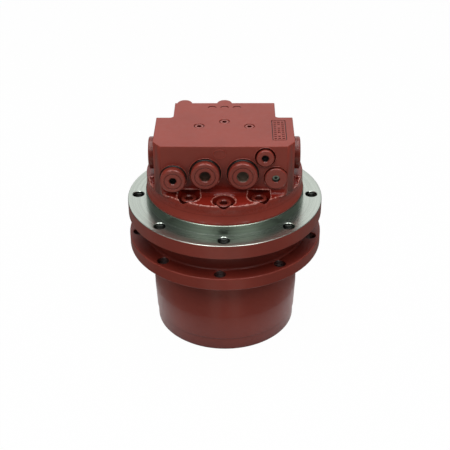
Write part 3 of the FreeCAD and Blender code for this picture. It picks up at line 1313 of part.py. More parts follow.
PARTS = {
    "hub_housing": hub_housing, "ring_gear": ring_gear, "end_cover": end_cover,
    "cover_snap_ring": cover_snap_ring, "cover_plugs": cover_plugs,
    "thrust_button": thrust_button, "hub_rubber_seals": hub_rubber_seals,
    "main_bearing_outer_races": main_bearing_outer_races,
    "main_bearing_balls": main_bearing_balls,
    "main_bearing_inner_races": main_bearing_inner_races, "ring_nut": ring_nut,
    "seal_ring_lower": seal_ring_lower, "seal_ring_upper": seal_ring_upper,
    "casing_rubber_seals": casing_rubber_seals, "motor_casing": motor_casing,
    "pivot_balls": pivot_balls, "shaft_oil_seal": shaft_oil_seal,
    "shaft_bearings": shaft_bearings, "front_bearing_inner": front_bearing_inner,
    "stage1_carrier": stage1_carrier, "stage1_pins": stage1_pins,
    "stage1_rollers": stage1_rollers, "stage2_sun_gear": stage2_sun_gear,
    "stage2_pins": stage2_pins, "stage2_rollers": stage2_rollers,
    "motor_shaft": motor_shaft, "drive_gear": drive_gear, "cylinder_block": cylinder_block,
    "block_spring": block_spring, "ball_guide": ball_guide, "pistons": pistons,
    "swash_plate": swash_plate, "piston_shoes": piston_shoes,
    "retainer_plate": retainer_plate, "speed_piston": speed_piston,
    "valve_plate": valve_plate, "brake_separators": brake_separators,
    "brake_friction_discs": brake_friction_discs, "brake_piston": brake_piston,
    "brake_disc_spring": brake_disc_spring, "valve_block": valve_block,
    "block_screws": block_screws, "plug_front_left": plug_front_left,
    "relief_valve_plugs": relief_valve_plugs, "speed_spool_plug": speed_spool_plug,
    "gauge_port_plug": gauge_port_plug, "gauge_port_screw": gauge_port_screw,
    "plug_seals": plug_seals, "top_plugs": top_plugs, "spool_caps": spool_caps,
    "counterbalance_spool": counterbalance_spool, "spool_springs": spool_springs,
    "speed_spool": speed_spool, "speed_spool_spring": speed_spool_spring}

os.makedirs("parts", exist_ok=True)
for name, build in PARTS.items():
    build().exportStep("parts/" + name + ".step")
for stage in (1, 2):
    for index in range(PLANETS):
        planet(stage, index).exportStep("parts/stage%d_planet_%d.step" % (stage, index + 1))
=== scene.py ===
"""Finishes, threads, casting marks and studio for a compact excavator's final drive.

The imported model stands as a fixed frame. This add-on gives its castings, plugs, gears and
bearings their finishes, engraves the valve block, cuts threads and lights the whole.
"""
import json
import math
import random
from collections import namedtuple

import bmesh
import bpy
from bpy.props import FloatProperty, FloatVectorProperty, IntProperty, PointerProperty
from mathutils import Matrix, Vector


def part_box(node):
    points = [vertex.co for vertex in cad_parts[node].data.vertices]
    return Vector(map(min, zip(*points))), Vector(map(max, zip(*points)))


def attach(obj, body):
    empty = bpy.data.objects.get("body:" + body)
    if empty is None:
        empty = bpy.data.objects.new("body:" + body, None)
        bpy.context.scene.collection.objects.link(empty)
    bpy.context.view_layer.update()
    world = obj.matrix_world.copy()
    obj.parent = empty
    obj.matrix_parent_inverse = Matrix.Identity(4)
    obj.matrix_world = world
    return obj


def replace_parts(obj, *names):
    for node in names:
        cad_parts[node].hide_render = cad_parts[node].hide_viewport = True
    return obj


bl_info = {
    "name": "Final Drive Dressing",
    "version": (1, 0, 0),
    "blender": (4, 5, 0),
    "location": "View3D > Sidebar > Final Drive",
    "description": "Finishes, threads, casting marks and studio for a final drive",
    "category": "Object",
}

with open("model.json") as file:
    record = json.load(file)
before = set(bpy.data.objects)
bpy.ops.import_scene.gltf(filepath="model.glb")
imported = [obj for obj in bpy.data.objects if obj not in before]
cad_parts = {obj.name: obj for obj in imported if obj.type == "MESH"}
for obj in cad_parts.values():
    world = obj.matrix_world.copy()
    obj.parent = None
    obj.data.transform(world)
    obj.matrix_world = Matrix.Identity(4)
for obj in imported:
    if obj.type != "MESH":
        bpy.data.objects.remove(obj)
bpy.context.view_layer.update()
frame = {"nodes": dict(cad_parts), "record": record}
MM = 0.001
MOUNTS = {mount["name"]: mount for mount in frame["record"]["mounts"]}

# Levels, radii and counts read from the frame's nodes and mounts, in metres
JOINT_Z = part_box("valve_block")[0].z
TOP_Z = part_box("valve_block")[1].z
SCREW_TOP_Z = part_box("block_screws")[1].z
FACE_Z = MOUNTS["frame_face"]["pos_m"][2]
SPROCKET_FACE_Z = MOUNTS["sprocket_face"]["pos_m"][2]
FLANGE_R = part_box("motor_casing")[1].x
HOLE_R = MOUNTS["frame_bolts"]["dims"]["hole_r_mm"] * MM
FRAME_BOLT_R = MOUNTS["frame_bolts"]["dims"]["pcd_mm"] / 2 * MM
SPROCKET_BOLT_R = MOUNTS["sprocket_bolts"]["dims"]["pcd_mm"] / 2 * MM
FRAME_HOLES = int(MOUNTS["frame_bolts"]["dims"]["count"])
FRAME_FIRST_DEG = -90.0
SPROCKET_HOLES = int(MOUNTS["sprocket_bolts"]["dims"]["count"])
SPROCKET_FIRST_DEG = -92.5
# Forms within the nodes: valve block's ledge, front wall and scribed line
LEDGE_Z = JOINT_Z + 20.9 * MM
LEDGE_R = 83.2 * MM
FRONT_Y = -55.5 * MM
SCRIBED_Z = JOINT_Z + 10.5 * MM
# Block screws stand at twelfths of their circle
SCREW_CIRCLE = 71.3 * MM
SCREW_STEPS = 12
SCREW_KEY_R = 3.4 * MM
# Hub's turned bore, and the casing's flange and the neck under it
HUB_BORE_R = 76.3 * MM
FLANGE_T = 15.5 * MM
NECK_R = 81.5 * MM
# Threads: plain stretch before a sprocket hole's thread, and the two kinds' lengths
THREAD_GAP = 1.2 * MM
FRAME_THREAD_L = 14.2 * MM
SPROCKET_THREAD_L = 11.7 * MM
PORTS = ("main_port_left", "main_port_right", "drain_port", "speed_pilot_port")

# A front plug: its middle, the radius of its tool socket and of the spot face it seats on
FrontPlug = namedtuple("FrontPlug", "x z socket_r spot_r")
PLUG_LEFT = FrontPlug(-51.3 * MM, 204.3 * MM, 4.1 * MM, 14.2 * MM)
RELIEF_LEFT = FrontPlug(-18.8 * MM, 209.2 * MM, 6.2 * MM, 16.6 * MM)
RELIEF_RIGHT = FrontPlug(19.2 * MM, 208.8 * MM, 6.2 * MM, 16.8 * MM)
SPEED_PLUG = FrontPlug(41.6 * MM, 227.0 * MM, 4.1 * MM, 10.9 * MM)
GAUGE_PLUG = FrontPlug(52.6 * MM, 204.2 * MM, 4.3 * MM, 12.5 * MM)
FRONT_PLUGS = (PLUG_LEFT, RELIEF_LEFT, RELIEF_RIGHT, SPEED_PLUG, GAUGE_PLUG)

# Marks on the top face: three arcs, and a frame of bars
ARC_MIDDLES = (-13.4 * MM, 0.0, 13.2 * MM)
ARC_Y = 35.5 * MM
ARC_REACH = (3.8 * MM, 3.2 * MM)
ARC_GROWTH = (1.4, 1.9)
ARC_FIRST_DEG = 18.0
ARC_TURN_DEG = 144.0
ARC_STEPS = 14
PANEL_LOW = (49.0 * MM, -41.5 * MM)
PANEL_HIGH = (63.8 * MM, 5.0 * MM)
PANEL_CORNER = 1.2 * MM
BAR_HALF = (1.3 * MM, 1.0 * MM)
BAR_CORNER = 0.5 * MM
BAR_FIRST = (52.4 * MM, -37.5 * MM)
BAR_STEP = (4.0 * MM, 4.7 * MM)
BAR_ROWS = 9
BAR_COLUMNS = 3
BARE_SPOTS = ((2, 1), (6, 1))
# Plain oval on the front wall
OVAL_MIDDLE = (-4.0 * MM, 230.5 * MM)
OVAL_HALF = (5.8 * MM, 4.4 * MM)
OVAL_LINE = 0.9 * MM
OVAL_RISE = 0.35 * MM
BEAD_STEP = 1.1 * MM

# Studio: the cloths that only reflections see, and the camera
CURTAIN_R = 1.9
CURTAIN_HEIGHTS = (0.02, 2.6)
CURTAIN_DEGS = (-235, 55)
MAT_RADII = (0.12, 0.5, 1.88)
CAMERA_PLACE = (0.0134, -0.9162, 0.6777)
CAMERA_AIM_Z = 0.11353
CAMERA_ROLL_DEG = -0.43


def srgb(red, green, blue):
    """Linear colour from display values of 0 to 255."""
    scaled = [value / 255.0 for value in (red, green, blue)]
    return tuple(v / 12.92 if v <= 0.04045 else ((v + 0.055) / 1.055) ** 2.4 for v in scaled)


# ---- Sizes and colours a user may change ------------------------------------------------
def colour_setting(name, description, default):
    return FloatVectorProperty(name=name, description=description, default=default, size=3,
                               subtype="COLOR", min=0, max=1)


def length_setting(name, description, default, most):
    return FloatProperty(name=name, description=description, default=default, min=0.0,
                         max=most, unit="LENGTH", precision=5)


def power_setting(name, description, default):
    return FloatProperty(name=name, description=description, default=default, min=0.0,
                         max=200.0, unit="POWER")


class PaintSettings(bpy.types.PropertyGroup):
    red: colour_setting("Red paint", "Brick red of the castings", srgb(145, 60, 48))
    # Deeper red: painted shade round the feet of fasteners and caps, and on the valve block's
    # ledge band
    ledge: colour_setting("Shade red", "Deeper red painted as shade at feet and on the ledge", srgb(136, 34, 24))
    # Dark tint of painted shade in corners, gaps, engravings and the scribed line
    shade_tint: colour_setting("Corner shade", "Tint of painted shade in tight corners", (0.26, 0.15, 0.13))
    roughness: FloatProperty(name="Paint roughness", description="Gloss of the dried paint",
                             default=0.36, min=0.05, max=1.0, subtype="FACTOR")
    cast_depth: length_setting("Casting grain", "Height of the cast skin's grain", 0.00012, 0.001)
    edge_round: length_setting("Edge rounding", "How soft painted edges look", 0.0006, 0.003)


class SteelSettings(bpy.types.PropertyGroup):
    turned: colour_setting("Turned steel", "Bare machined faces", srgb(190, 198, 189))
    gears: colour_setting("Gear steel", "Case-hardened gears in oil", srgb(112, 110, 106))
    bearings: colour_setting("Bearing steel", "Ground races and rollers", srgb(190, 192, 194))
    springs: colour_setting("Spring steel", "Oil-blackened springs", srgb(62, 62, 66))
    bronze: colour_setting("Pump bronze", "Port plate and shoe bronze", srgb(176, 132, 78))
    lining: colour_setting("Brake lining", "Paper lining of the discs", srgb(84, 66, 50))
    rubber: colour_setting("Seal rubber", "Nitrile O-rings", srgb(26, 18, 14))


class ThreadSettings(bpy.types.PropertyGroup):
    bolt_pitch: length_setting("Bolt pitch", "Pitch of the M12 threads", 0.00175, 0.004)
    port_pitch: length_setting("Port pitch", "Pitch of the hose port threads", 0.00181, 0.004)
    depth: length_setting("Thread depth", "How far each ridge stands in", 0.00075, 0.002)
    steps: IntProperty(name="Steps per turn", description="Facets in one turn of a thread",
                       default=28, min=12, max=96)


class MarkSettings(bpy.types.PropertyGroup):
    depth: length_setting("Engraving depth", "Depth of marks in the top face", 0.0008, 0.002)
    line: length_setting("Line width", "Width of the engraved lines", 0.0010, 0.003)
    flash: length_setting("Casting flash", "Thickness of the ragged pocket edges", 0.0008, 0.002)


class StudioSettings(bpy.types.PropertyGroup):
    top: power_setting("Overhead lamp", "Power of the soft lamp above", 9.3)
    front: power_setting("Front lamps", "Power of each lamp by the camera", 4.6)
    side: power_setting("Side lamps", "Power of each tall lamp at the sides", 1.4)
    ambient: FloatProperty(name="Room light", description="Strength of the light all round",
                           default=0.17, min=0.0, max=2.0)
    lens: FloatProperty(name="Focal length", description="Camera lens on a 36 mm sensor",
                        default=77.6, min=20.0, max=300.0, unit="CAMERA")


SETTINGS = (PaintSettings, SteelSettings, ThreadSettings, MarkSettings, StudioSettings)
GROUPS = ("drive_paint", "drive_steel", "drive_threads", "drive_marks", "drive_studio")


# ---- Shader maths -----------------------------------------------------------------------
class Value:
    """A number that varies over a surface; arithmetic on it adds Math nodes."""

    def __init__(self, finish, socket):
        self.finish = finish
        self.socket = socket

    def _math(self, operation, *terms):
        made = self.finish.node("ShaderNodeMath", {"operation": operation},
                                dict(enumerate(terms)))
        return Value(self.finish, made.outputs[0])

    def __add__(self, other):
        return self._math("ADD", self, other)

    def __radd__(self, other):
        return self._math("ADD", other, self)

    def __sub__(self, other):
        return self._math("SUBTRACT", self, other)

    def __rsub__(self, other):
        return self._math("SUBTRACT", other, self)

    def __mul__(self, other):
        return self._math("MULTIPLY", self, other)

    def __rmul__(self, other):
        return self._math("MULTIPLY", other, self)

    def __abs__(self):
        return self._math("ABSOLUTE", self)

    def sine(self):
        return self._math("SINE", self)

    def cosine(self):
        return self._math("COSINE", self)

    def wrap(self, low, high):
        return self._math("WRAP", self, high, low)

    def root(self):
        return self._math("SQRT", self)

    def most(self, other):
        return self._math("MAXIMUM", self, other)

    def angle(self, other):
        return self._math("ARCTAN2", self, other)

    def ramp(self, low, high):
        """0 below low, 1 above high, smooth between; low above high turns it round."""
        if low > high:
            return 1.0 - self.ramp(high, low)
        made = self.finish.node("ShaderNodeMapRange", {"interpolation_type": "SMOOTHSTEP"},
                                {0: self, 1: low, 2: high, 3: 0.0, 4: 1.0})
        return Value(self.finish, made.outputs[0])


def plain(value):
    return value.socket if isinstance(value, Value) else value


class Finish:
    """A procedural material built on one Principled shader."""

    def __init__(self, name):
        self.material = bpy.data.materials.new(name)
        self.material.use_nodes = True
        self.tree = self.material.node_tree
        self.tree.nodes.clear()
        self.shader = self.node("ShaderNodeBsdfPrincipled", {}, {})
        self.output = self.node("ShaderNodeOutputMaterial", {}, {0: self.shader.outputs[0]})
        self.place = self.node("ShaderNodeTexCoord", {}, {}).outputs["Object"]
        split = self.node("ShaderNodeSeparateXYZ", {}, {0: self.place})
        self.x, self.y, self.z = (Value(self, out) for out in split.outputs)
        self.radius = (self.x * self.x + self.y * self.y).root()

    def node(self, kind, settings, inputs):
        """Make a node, set its settings, then fill its sockets with values or links."""
        made = self.tree.nodes.new(kind)
        for key, value in settings.items():
            setattr(made, key, value)
        for key, value in inputs.items():
            value = plain(value)
            if isinstance(value, bpy.types.NodeSocket):
                self.tree.links.new(value, made.inputs[key])
            else:
                made.inputs[key].default_value = value
        return made

    def noise(self, scale, detail=2.0, roughness=0.5, place=None):
        made = self.node("ShaderNodeTexNoise", {},
                         {"Vector": place or self.place, "Scale": scale, "Detail": detail,
                          "Roughness": roughness})
        return Value(self, made.outputs[0])

    def point(self, x, y, z):
        return self.node("ShaderNodeCombineXYZ", {}, {0: x, 1: y, 2: z}).outputs[0]

    def grain(self, x, y, z, detail, roughness):
        """Noise with its own scale along each axis."""
        place = self.point(self.x * x, self.y * y, self.z * z)
        return self.noise(1.0, detail, roughness, place)

    def rings(self, across, along, detail=3.0):
        """Noise drawn out into rings about the Z axis, as a lathe tool leaves them."""
        place = self.point(self.radius * across, self.z * across, self.y.angle(self.x) * along)
        return self.noise(1.0, detail, 0.6, place)

    def blend(self, amount, low, high):
        """Mix two colours by a varying amount."""
        made = self.node("ShaderNodeMix", {"data_type": "RGBA"}, {0: amount, 6: low, 7: high})
        return made.outputs[2]

    def tint(self, amount, under, over):
        """Multiply a colour by another by a varying amount."""
        made = self.node("ShaderNodeMix", {"data_type": "RGBA", "blend_type": "MULTIPLY"},
                         {0: amount, 6: under, 7: over})
        return made.outputs[2]

    def crease(self, reach):
        """1 in the open, falling to 0 in tight corners."""
        made = self.node("ShaderNodeAmbientOcclusion", {"samples": 6}, {"Distance": reach})
        return Value(self, made.outputs["AO"])

    def outer_edge(self, reach):
        """1 along outward edges, where the painted highlight goes, falling to 0 away from them."""
        made = self.node("ShaderNodeAmbientOcclusion", {"samples": 6, "inside": True},
                         {"Distance": reach})
        return Value(self, made.outputs["AO"]).ramp(0.88, 0.50)

    def bolt_hole(self, count, first_deg, circle_r, hole_r):
        """1 inside the holes of a bolt circle round the Z axis, 0 outside them."""
        half = math.pi / count
        turn = (self.y.angle(self.x) - math.radians(first_deg)).wrap(-half, half)
        along = self.radius * turn.cosine() - circle_r
        across = self.radius * turn.sine()
        away = (along * along + across * across).root()
        return away.ramp(hole_r + 0.0004, hole_r)

    def soft_edges(self, radius):
        return self.node("ShaderNodeBevel", {"samples": 4}, {"Radius": radius}).outputs[0]

    def bump(self, height, distance, under):
        return self.node("ShaderNodeBump", {},
                         {"Distance": distance, "Height": height, "Normal": under}).outputs[0]

    def set(self, **sockets):
        """Fill the shader's sockets; an underscore stands for a space in a name."""
        for key, value in sockets.items():
            value = plain(value)
            target = self.shader.inputs[key.replace("_", " ")]
            if isinstance(value, bpy.types.NodeSocket):
                self.tree.links.new(value, target)
            else:
                target.default_value = value
        return self.material

    def disc(self, middle_x, middle_z, radius, edge=0.0003):
        """1 within a circle on the front wall, 0 outside it."""
        dx = self.x - middle_x
        dz = self.z - middle_z
        return (dx * dx + dz * dz).root().ramp(radius + edge, radius - edge)


def shade(colour, factor):
    return tuple(min(1.0, value * factor) for value in colour[:3]) + (1.0,)


def dress(nodes, material):
    """Give CAD nodes their finish in the slots they came with."""
    for node in nodes:
        for held in frame["nodes"][node].material_slots:
            held.material = material


# ---- Finishes ---------------------------------------------------------------------------
def paint_layers(finish, paint, roughness, grain, edges, where=1.0):
    """Colour, roughness and normal of red paint, with painted shade in corners and gaps and a
    painted highlight on outward edges; grain only stands where asked.
    """
    broad = finish.noise(14.0, 3.0)
    mottle = finish.noise(150.0, 4.0, 0.6)
    speck = finish.noise(1300.0, 2.0)
    runs = finish.grain(60.0, 60.0, 12.0, 3.0, 0.5)
    base = finish.blend(broad.ramp(0.3, 0.7), shade(paint.red, 0.90), shade(paint.red, 1.08))
    base = finish.blend(runs.ramp(0.52, 0.72) * 0.22, base, shade(paint.red, 1.18))
    base = finish.blend(mottle.ramp(0.50, 0.82) * 0.20, base, shade(paint.red, 1.28))
    base = finish.blend(speck.ramp(0.62, 0.80) * 0.30, base, shade(paint.red, 0.50))
    # Painted shade: darker red in tight corners, found by an occlusion test
    corner_shade = finish.crease(0.008).ramp(0.90, 0.15)
    base = finish.tint(corner_shade * 0.85, base, shade(paint.shade_tint, 1.0))
    # Painted shade: darker still in gaps and recesses within 45 mm, where shadow falls
    gap_shade = finish.crease(0.045).ramp(0.80, 0.36)
    base = finish.tint(gap_shade * 0.85, base, shade(paint.shade_tint, 1.3))
    # Painted highlight: lighter red in patches along outward edges
    edge_highlight = finish.outer_edge(0.0011) * (0.35 + mottle * 0.5)
    base = finish.blend(edge_highlight * 0.55, base, shade(paint.red, 1.75))
    gloss = roughness + (mottle - 0.5) * 0.20 + (speck - 0.5) * 0.10
    cast = finish.noise(430.0, 5.0, 0.62)
    peel = finish.noise(2600.0, 1.0)
    normal = finish.soft_edges(edges)
    normal = finish.bump(cast * where, grain, normal)
    normal = finish.bump(peel * where, 0.00003, normal)
    return base, gloss, normal


def turned_layers(finish, steel):
    """Colour, roughness and height of bare steel fresh from the lathe."""
    fine = finish.rings(1500.0, 0.8, 1.0)
    coarse = finish.rings(420.0, 0.5, 2.0)
    stain = finish.noise(38.0, 4.0, 0.6)
    base = finish.blend(coarse.ramp(0.35, 0.65), shade(steel.turned, 0.90),
                        shade(steel.turned, 1.04))
    base = finish.blend(stain.ramp(0.55, 0.80) * 0.18, base, shade(srgb(132, 146, 138), 1.0))
    gloss = 0.24 + fine * 0.08 + stain.ramp(0.50, 0.85) * 0.05
    return base, gloss, fine * 0.4 + coarse * 0.6


def hub_finish(paint, steel):
    """Paint outside; oily turned bore and seal cavity inside."""
    finish = Finish("hub_paint")
    red, red_gloss, normal = paint_layers(finish, paint, paint.roughness, 0.00004,
                                          paint.edge_round)
    lathe = finish.rings(900.0, 0.5)
    normal = finish.bump(lathe, 0.00003, normal)
    # Painted shade: sprocket bolt holes turned near-black inside
    bore = finish.bolt_hole(SPROCKET_HOLES, SPROCKET_FIRST_DEG, SPROCKET_BOLT_R, HOLE_R)
    red = finish.tint(bore * 0.85, red, (0.14, 0.11, 0.11, 1.0))
    bare, bare_gloss, marks = turned_layers(finish, steel)
    mask = finish.radius.ramp(HUB_BORE_R + 0.0005, HUB_BORE_R - 0.0005)
    return finish.set(Base_Color=finish.blend(mask, red, bare),
                      Roughness=red_gloss * (1.0 - mask) + bare_gloss * mask,
                      Metallic=mask, Normal=finish.bump(marks * mask, 0.00003, normal),
                      Specular_IOR_Level=0.34)


def casing_finish(paint, steel):
    """Bare turned face and spigot, painted rim, oily steel inside the hub."""
    finish = Finish("casing_steel_and_paint")
    bare, bare_gloss, marks = turned_layers(finish, steel)
    below_face = finish.z.ramp(FACE_Z - 0.0003, FACE_Z - 0.0006)
    rim = finish.radius.ramp(FLANGE_R - 0.0009, FLANGE_R - 0.0003)
    underside = finish.radius.ramp(NECK_R, NECK_R + 0.0007)
    painted = below_face * rim.most(underside)
    holes = finish.z.ramp(FACE_Z - FLANGE_T - 0.0005, FACE_Z - FLANGE_T)
    painted = painted * (1.0 - holes * (1.0 - rim))
    worn = finish.noise(260.0, 4.0, 0.7).ramp(0.66, 0.78) * finish.z.ramp(
        FACE_Z - 0.0022, FACE_Z - 0.0004)
    painted = painted * (1.0 - worn * 0.7)
    mask = 1.0 - painted
    red, red_gloss, normal = paint_layers(finish, paint, paint.roughness, 0.00003,
                                          paint.edge_round * 0.5, painted)
    # Painted reflection: the spigot wall is tinted darker and greener than the face, for the dark
    # room it mirrors
    spigot = finish.z.ramp(FACE_Z + 0.0004, FACE_Z + 0.0012)
    bare_gloss = bare_gloss + spigot * 0.03
    bare = finish.tint(spigot, bare, (0.69, 0.74, 0.69, 1.0))
    # Painted shade: steel darkened in the corner at the spigot's foot
    foot_shade = finish.crease(0.003).ramp(0.75, 0.2)
    bare = finish.tint(foot_shade * 0.6, bare, (0.32, 0.36, 0.33, 1.0))
    # Painted shade: frame bolt holes near-black inside, below the face
    bore = finish.bolt_hole(FRAME_HOLES, FRAME_FIRST_DEG, FRAME_BOLT_R, HOLE_R)
    bore = bore * finish.z.ramp(FACE_Z - 0.0001, FACE_Z - 0.0010)
    bare = finish.blend(bore * 0.96, bare, shade(srgb(26, 34, 32), 1.0))
    return finish.set(Base_Color=finish.blend(mask, red, bare),
                      Roughness=red_gloss * painted + bare_gloss * mask,
                      Metallic=mask * 0.96, Anisotropic=0.45,
                      Normal=finish.bump(marks * mask, 0.000012, normal))


def block_finish(paint):
    """Cast block: machined painted top, grainy walls, and glossier deeper red on the ledge as
    painted shade.
    """
    finish = Finish("block_paint")
    top = finish.z.ramp(TOP_Z - 0.0016, TOP_Z - 0.0008)
    base_ring = finish.z.ramp(LEDGE_Z - 0.001, LEDGE_Z - 0.003)
    red, red_gloss, normal = paint_layers(finish, paint, paint.roughness, paint.cast_depth,
                                          paint.edge_round, 1.0 - base_ring.most(top) * 0.8)
    low = finish.z.ramp(LEDGE_Z + 0.016, LEDGE_Z + 0.002)
    low = low * finish.z.ramp(LEDGE_Z - 0.014, LEDGE_Z - 0.011)
    within = finish.radius.ramp(LEDGE_R + 0.0006, LEDGE_R - 0.0010)
    # Painted shade: deeper, glossier red over the concave ledge band and its pockets
    ledge_shade = low * within
    colour = finish.blend(ledge_shade * 0.85, red, shade(paint.ledge, 1.0))
    gloss = red_gloss - ledge_shade * 0.18 + top * 0.08
    streak = finish.rings(300.0, 0.4)
    gloss = gloss - base_ring * 0.04 + (streak - 0.5) * base_ring * 0.06
    # Painted shade: the scribed line's groove darkened
    line = abs(finish.z - SCRIBED_Z).ramp(0.0004, 0.0001) * base_ring
    colour = finish.tint(line * 0.6, colour, shade(paint.shade_tint, 1.4))
    # Painted shade: the engraved marks darkened in their recesses
    engraving_shade = finish.z.ramp(TOP_Z - 0.0001, TOP_Z - 0.0004) * top
    engraving_shade = engraving_shade * finish.crease(0.0025).ramp(0.80, 0.55)
    colour = finish.tint(engraving_shade * 0.85, colour, shade(paint.shade_tint, 0.9))
    return finish.set(Base_Color=colour, Roughness=gloss,
                      Normal=finish.bump(streak * base_ring, 0.00002, normal),
                      Specular_IOR_Level=0.38)


def plug_finish(node, paint, sockets):
    """Painted plug head with lighter scratches and painted highlights on its rims; each socket has
    its own colour and bareness.
    """
    finish = Finish(node + "_paint")
    head_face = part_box(node)[0].y
    inside_head = finish.y.ramp(head_face + 0.0006, head_face + 0.0010)
    red, red_gloss, normal = paint_layers(finish, paint, paint.roughness - 0.06, 0.00003,
                                          paint.edge_round * 0.6)
    scratches = finish.grain(900.0, 200.0, 500.0, 4.0, 0.7)
    colour = finish.blend(scratches.ramp(0.58, 0.80) * 0.22, red, shade(paint.red, 1.45))
    shine = 0.0
    for plug, inside, bare in sockets:
        spot = finish.disc(plug.x, plug.z, plug.socket_r) * inside_head
        grit = finish.noise(700.0, 3.0)
        worn = finish.blend(grit, shade(inside, 0.75), shade(inside, 1.25))
        colour = finish.blend(spot, colour, worn)
        shine = spot * bare + shine
        red_gloss = red_gloss + spot * 0.28
    return finish.set(Base_Color=colour, Roughness=red_gloss, Metallic=shine, Normal=normal,
                      Specular_IOR_Level=0.5)


def small_red_finish(name, paint, grain, shaded_sockets=False):
    """Glossy paint over fasteners and caps, with deeper red round their feet as painted shade."""
    finish = Finish(name)
    red, red_gloss, normal = paint_layers(finish, paint, paint.roughness - 0.10, grain,
                                          paint.edge_round * 0.5)
    # Painted shade: deeper red in the corners round each foot
    foot_shade = finish.crease(0.004).ramp(0.9, 0.3)
    red = finish.blend(foot_shade * 0.6, red, shade(paint.ledge, 0.9))
    # Painted shade: block screw sockets and creases by the top plugs turned near-black
    if shaded_sockets:
        socket = finish.bolt_hole(SCREW_STEPS, FRAME_FIRST_DEG, SCREW_CIRCLE, SCREW_KEY_R)
        socket = socket * finish.z.ramp(SCREW_TOP_Z - 0.0003, SCREW_TOP_Z - 0.0010)
        plug = finish.crease(0.005).ramp(0.70, 0.40) * finish.z.ramp(TOP_Z - 0.003, TOP_Z - 0.001)
        red = finish.tint(socket.most(plug) * 0.9, red, (0.14, 0.08, 0.08, 1.0))
    return finish.set(Base_Color=red, Roughness=red_gloss, Normal=normal)


def flash_finish(name, paint, pale):
    """Glossy paint over the casting's ragged edges, lighter red in patches with a pale painted
    highlight.
    """
    finish = Finish(name)
    patches = finish.noise(520.0, 3.0, 0.6)
    fine = finish.noise(1900.0, 2.0)
    # Painted highlight: patches of lighter red and pale along the beads
    base = finish.blend(patches.ramp(0.40, 0.60), shade(paint.red, 1.25),
                        shade(pale, 1.0))
    normal = finish.bump(fine, 0.00005, finish.soft_edges(0.0003))
    return finish.set(Base_Color=base, Roughness=0.18 + patches * 0.2, Normal=normal,
                      Specular_IOR_Level=0.6)


def steel_finish(name, colour, roughness, grain, metallic=1.0, aniso=0.0, oil=0.4):
    """Worked steel with oil stains, fine scratches and softly rounded edges."""
    finish = Finish(name)
    stain = finish.noise(90.0, 4.0, 0.6)
    scratch = finish.grain(1500.0, 1500.0, 240.0, 3.0, 0.7)
    fine = finish.noise(2400.0, 2.0)
    base = finish.blend(stain.ramp(0.35, 0.7), shade(colour, 0.78), shade(colour, 1.10))
    base = finish.blend(scratch.ramp(0.60, 0.80) * 0.35, base, shade(colour, 1.45))
    hollow = finish.crease(0.003).ramp(0.9, 0.2)
    base = finish.tint(hollow * oil, base, (0.30, 0.26, 0.20, 1.0))
    gloss = roughness + (stain - 0.5) * 0.22 + (scratch - 0.5) * 0.16
    normal = finish.soft_edges(0.0002)
    normal = finish.bump(scratch * 0.5 + fine * 0.5, grain, normal)
    return finish.set(Base_Color=base, Roughness=gloss, Metallic=metallic,
                      Anisotropic=aniso, Normal=normal)


def rubber_finish(name, colour):
    """Moulded black rubber with a dull sheen and dust."""
    finish = Finish(name)
    dust = finish.noise(240.0, 4.0, 0.65)
    pore = finish.noise(2600.0, 2.0)
    base = finish.blend(dust.ramp(0.45, 0.8), shade(colour, 0.8), shade(colour, 2.2))
    gloss = 0.42 + (dust - 0.5) * 0.3
    normal = finish.bump(pore, 0.00004, finish.soft_edges(0.0001))
    return finish.set(Base_Color=base, Roughness=gloss, Normal=normal)


def lining_finish(name, colour):
    """Fibrous friction paper with dark flecks."""
    finish = Finish(name)
    fibre = finish.grain(1100.0, 420.0, 900.0, 5.0, 0.7)
    fleck = finish.noise(900.0, 2.0)
    base = finish.blend(fibre.ramp(0.3, 0.7), shade(colour, 0.7), shade(colour, 1.3))
    base = finish.blend(fleck.ramp(0.62, 0.72), base, shade(colour, 0.35))
    return finish.set(Base_Color=base, Roughness=0.72 + (fibre - 0.5) * 0.3,
                      Normal=finish.bump(fibre, 0.0001, finish.soft_edges(0.0002)))


# ---- Meshes -----------------------------------------------------------------------------
def add_object(name, data):
    made = bpy.data.objects.new(name, data)
    bpy.context.scene.collection.objects.link(made)
    return made


def mesh_from(name, shape):
    """Mesh data from a bmesh, which is freed."""
    mesh = bpy.data.meshes.new(name)
    shape.to_mesh(mesh)
    shape.free()
    return mesh


def new_piece(name, shape, material, body):
    """Object from a bmesh, dressed, on its body and with its finish slot."""
    shape.normal_update()
    mesh = mesh_from(name, shape)
    piece = add_object(name, mesh)
    mesh.materials.append(material)
    for face in mesh.polygons:
        face.use_smooth = True
    mesh.set_sharp_from_angle(angle=math.radians(35))
    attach(piece, body)
    return piece


def skin(shape, rows, closed=False):
    """Faces round matching rows of points, closed on itself or capped at both ends."""
    sides = len(rows[0])
    pairs = list(zip(rows, rows[1:]))
    if closed:
        pairs.append((rows[-1], rows[0]))
    for first, second in pairs:
        for side in range(sides):
            nxt = (side + 1) % sides
            shape.faces.new((first[side], first[nxt], second[nxt], second[side]))
    if not closed:
        shape.faces.new(list(reversed(rows[0])))
        shape.faces.new(rows[-1])


def thread(shape, place, start, length, radius, pitch, depth, steps):
    """Helical ridge on the wall of a round hole; place carries it from +Z to the hole."""
    turns = length / pitch
    count = int(turns * steps)
    half_foot = pitch * 0.46
    half_crest = pitch * 0.08
    rows = []
    for k in range(count + 1):
        angle = 2 * math.pi * k / steps
        rise = start + length * k / count
        fade = min(1.0, k / (0.6 * steps), (count - k) / (0.6 * steps))
        inner = radius - depth * fade + 0.00001
        outline = ((radius + 0.00012, -half_foot), (inner, -half_crest),
                   (inner, half_crest), (radius + 0.00012, half_foot))
        rows.append([shape.verts.new(place @ Vector((r * math.cos(angle), r * math.sin(angle),
                                                     rise + dz))) for r, dz in outline])
    skin(shape, rows)


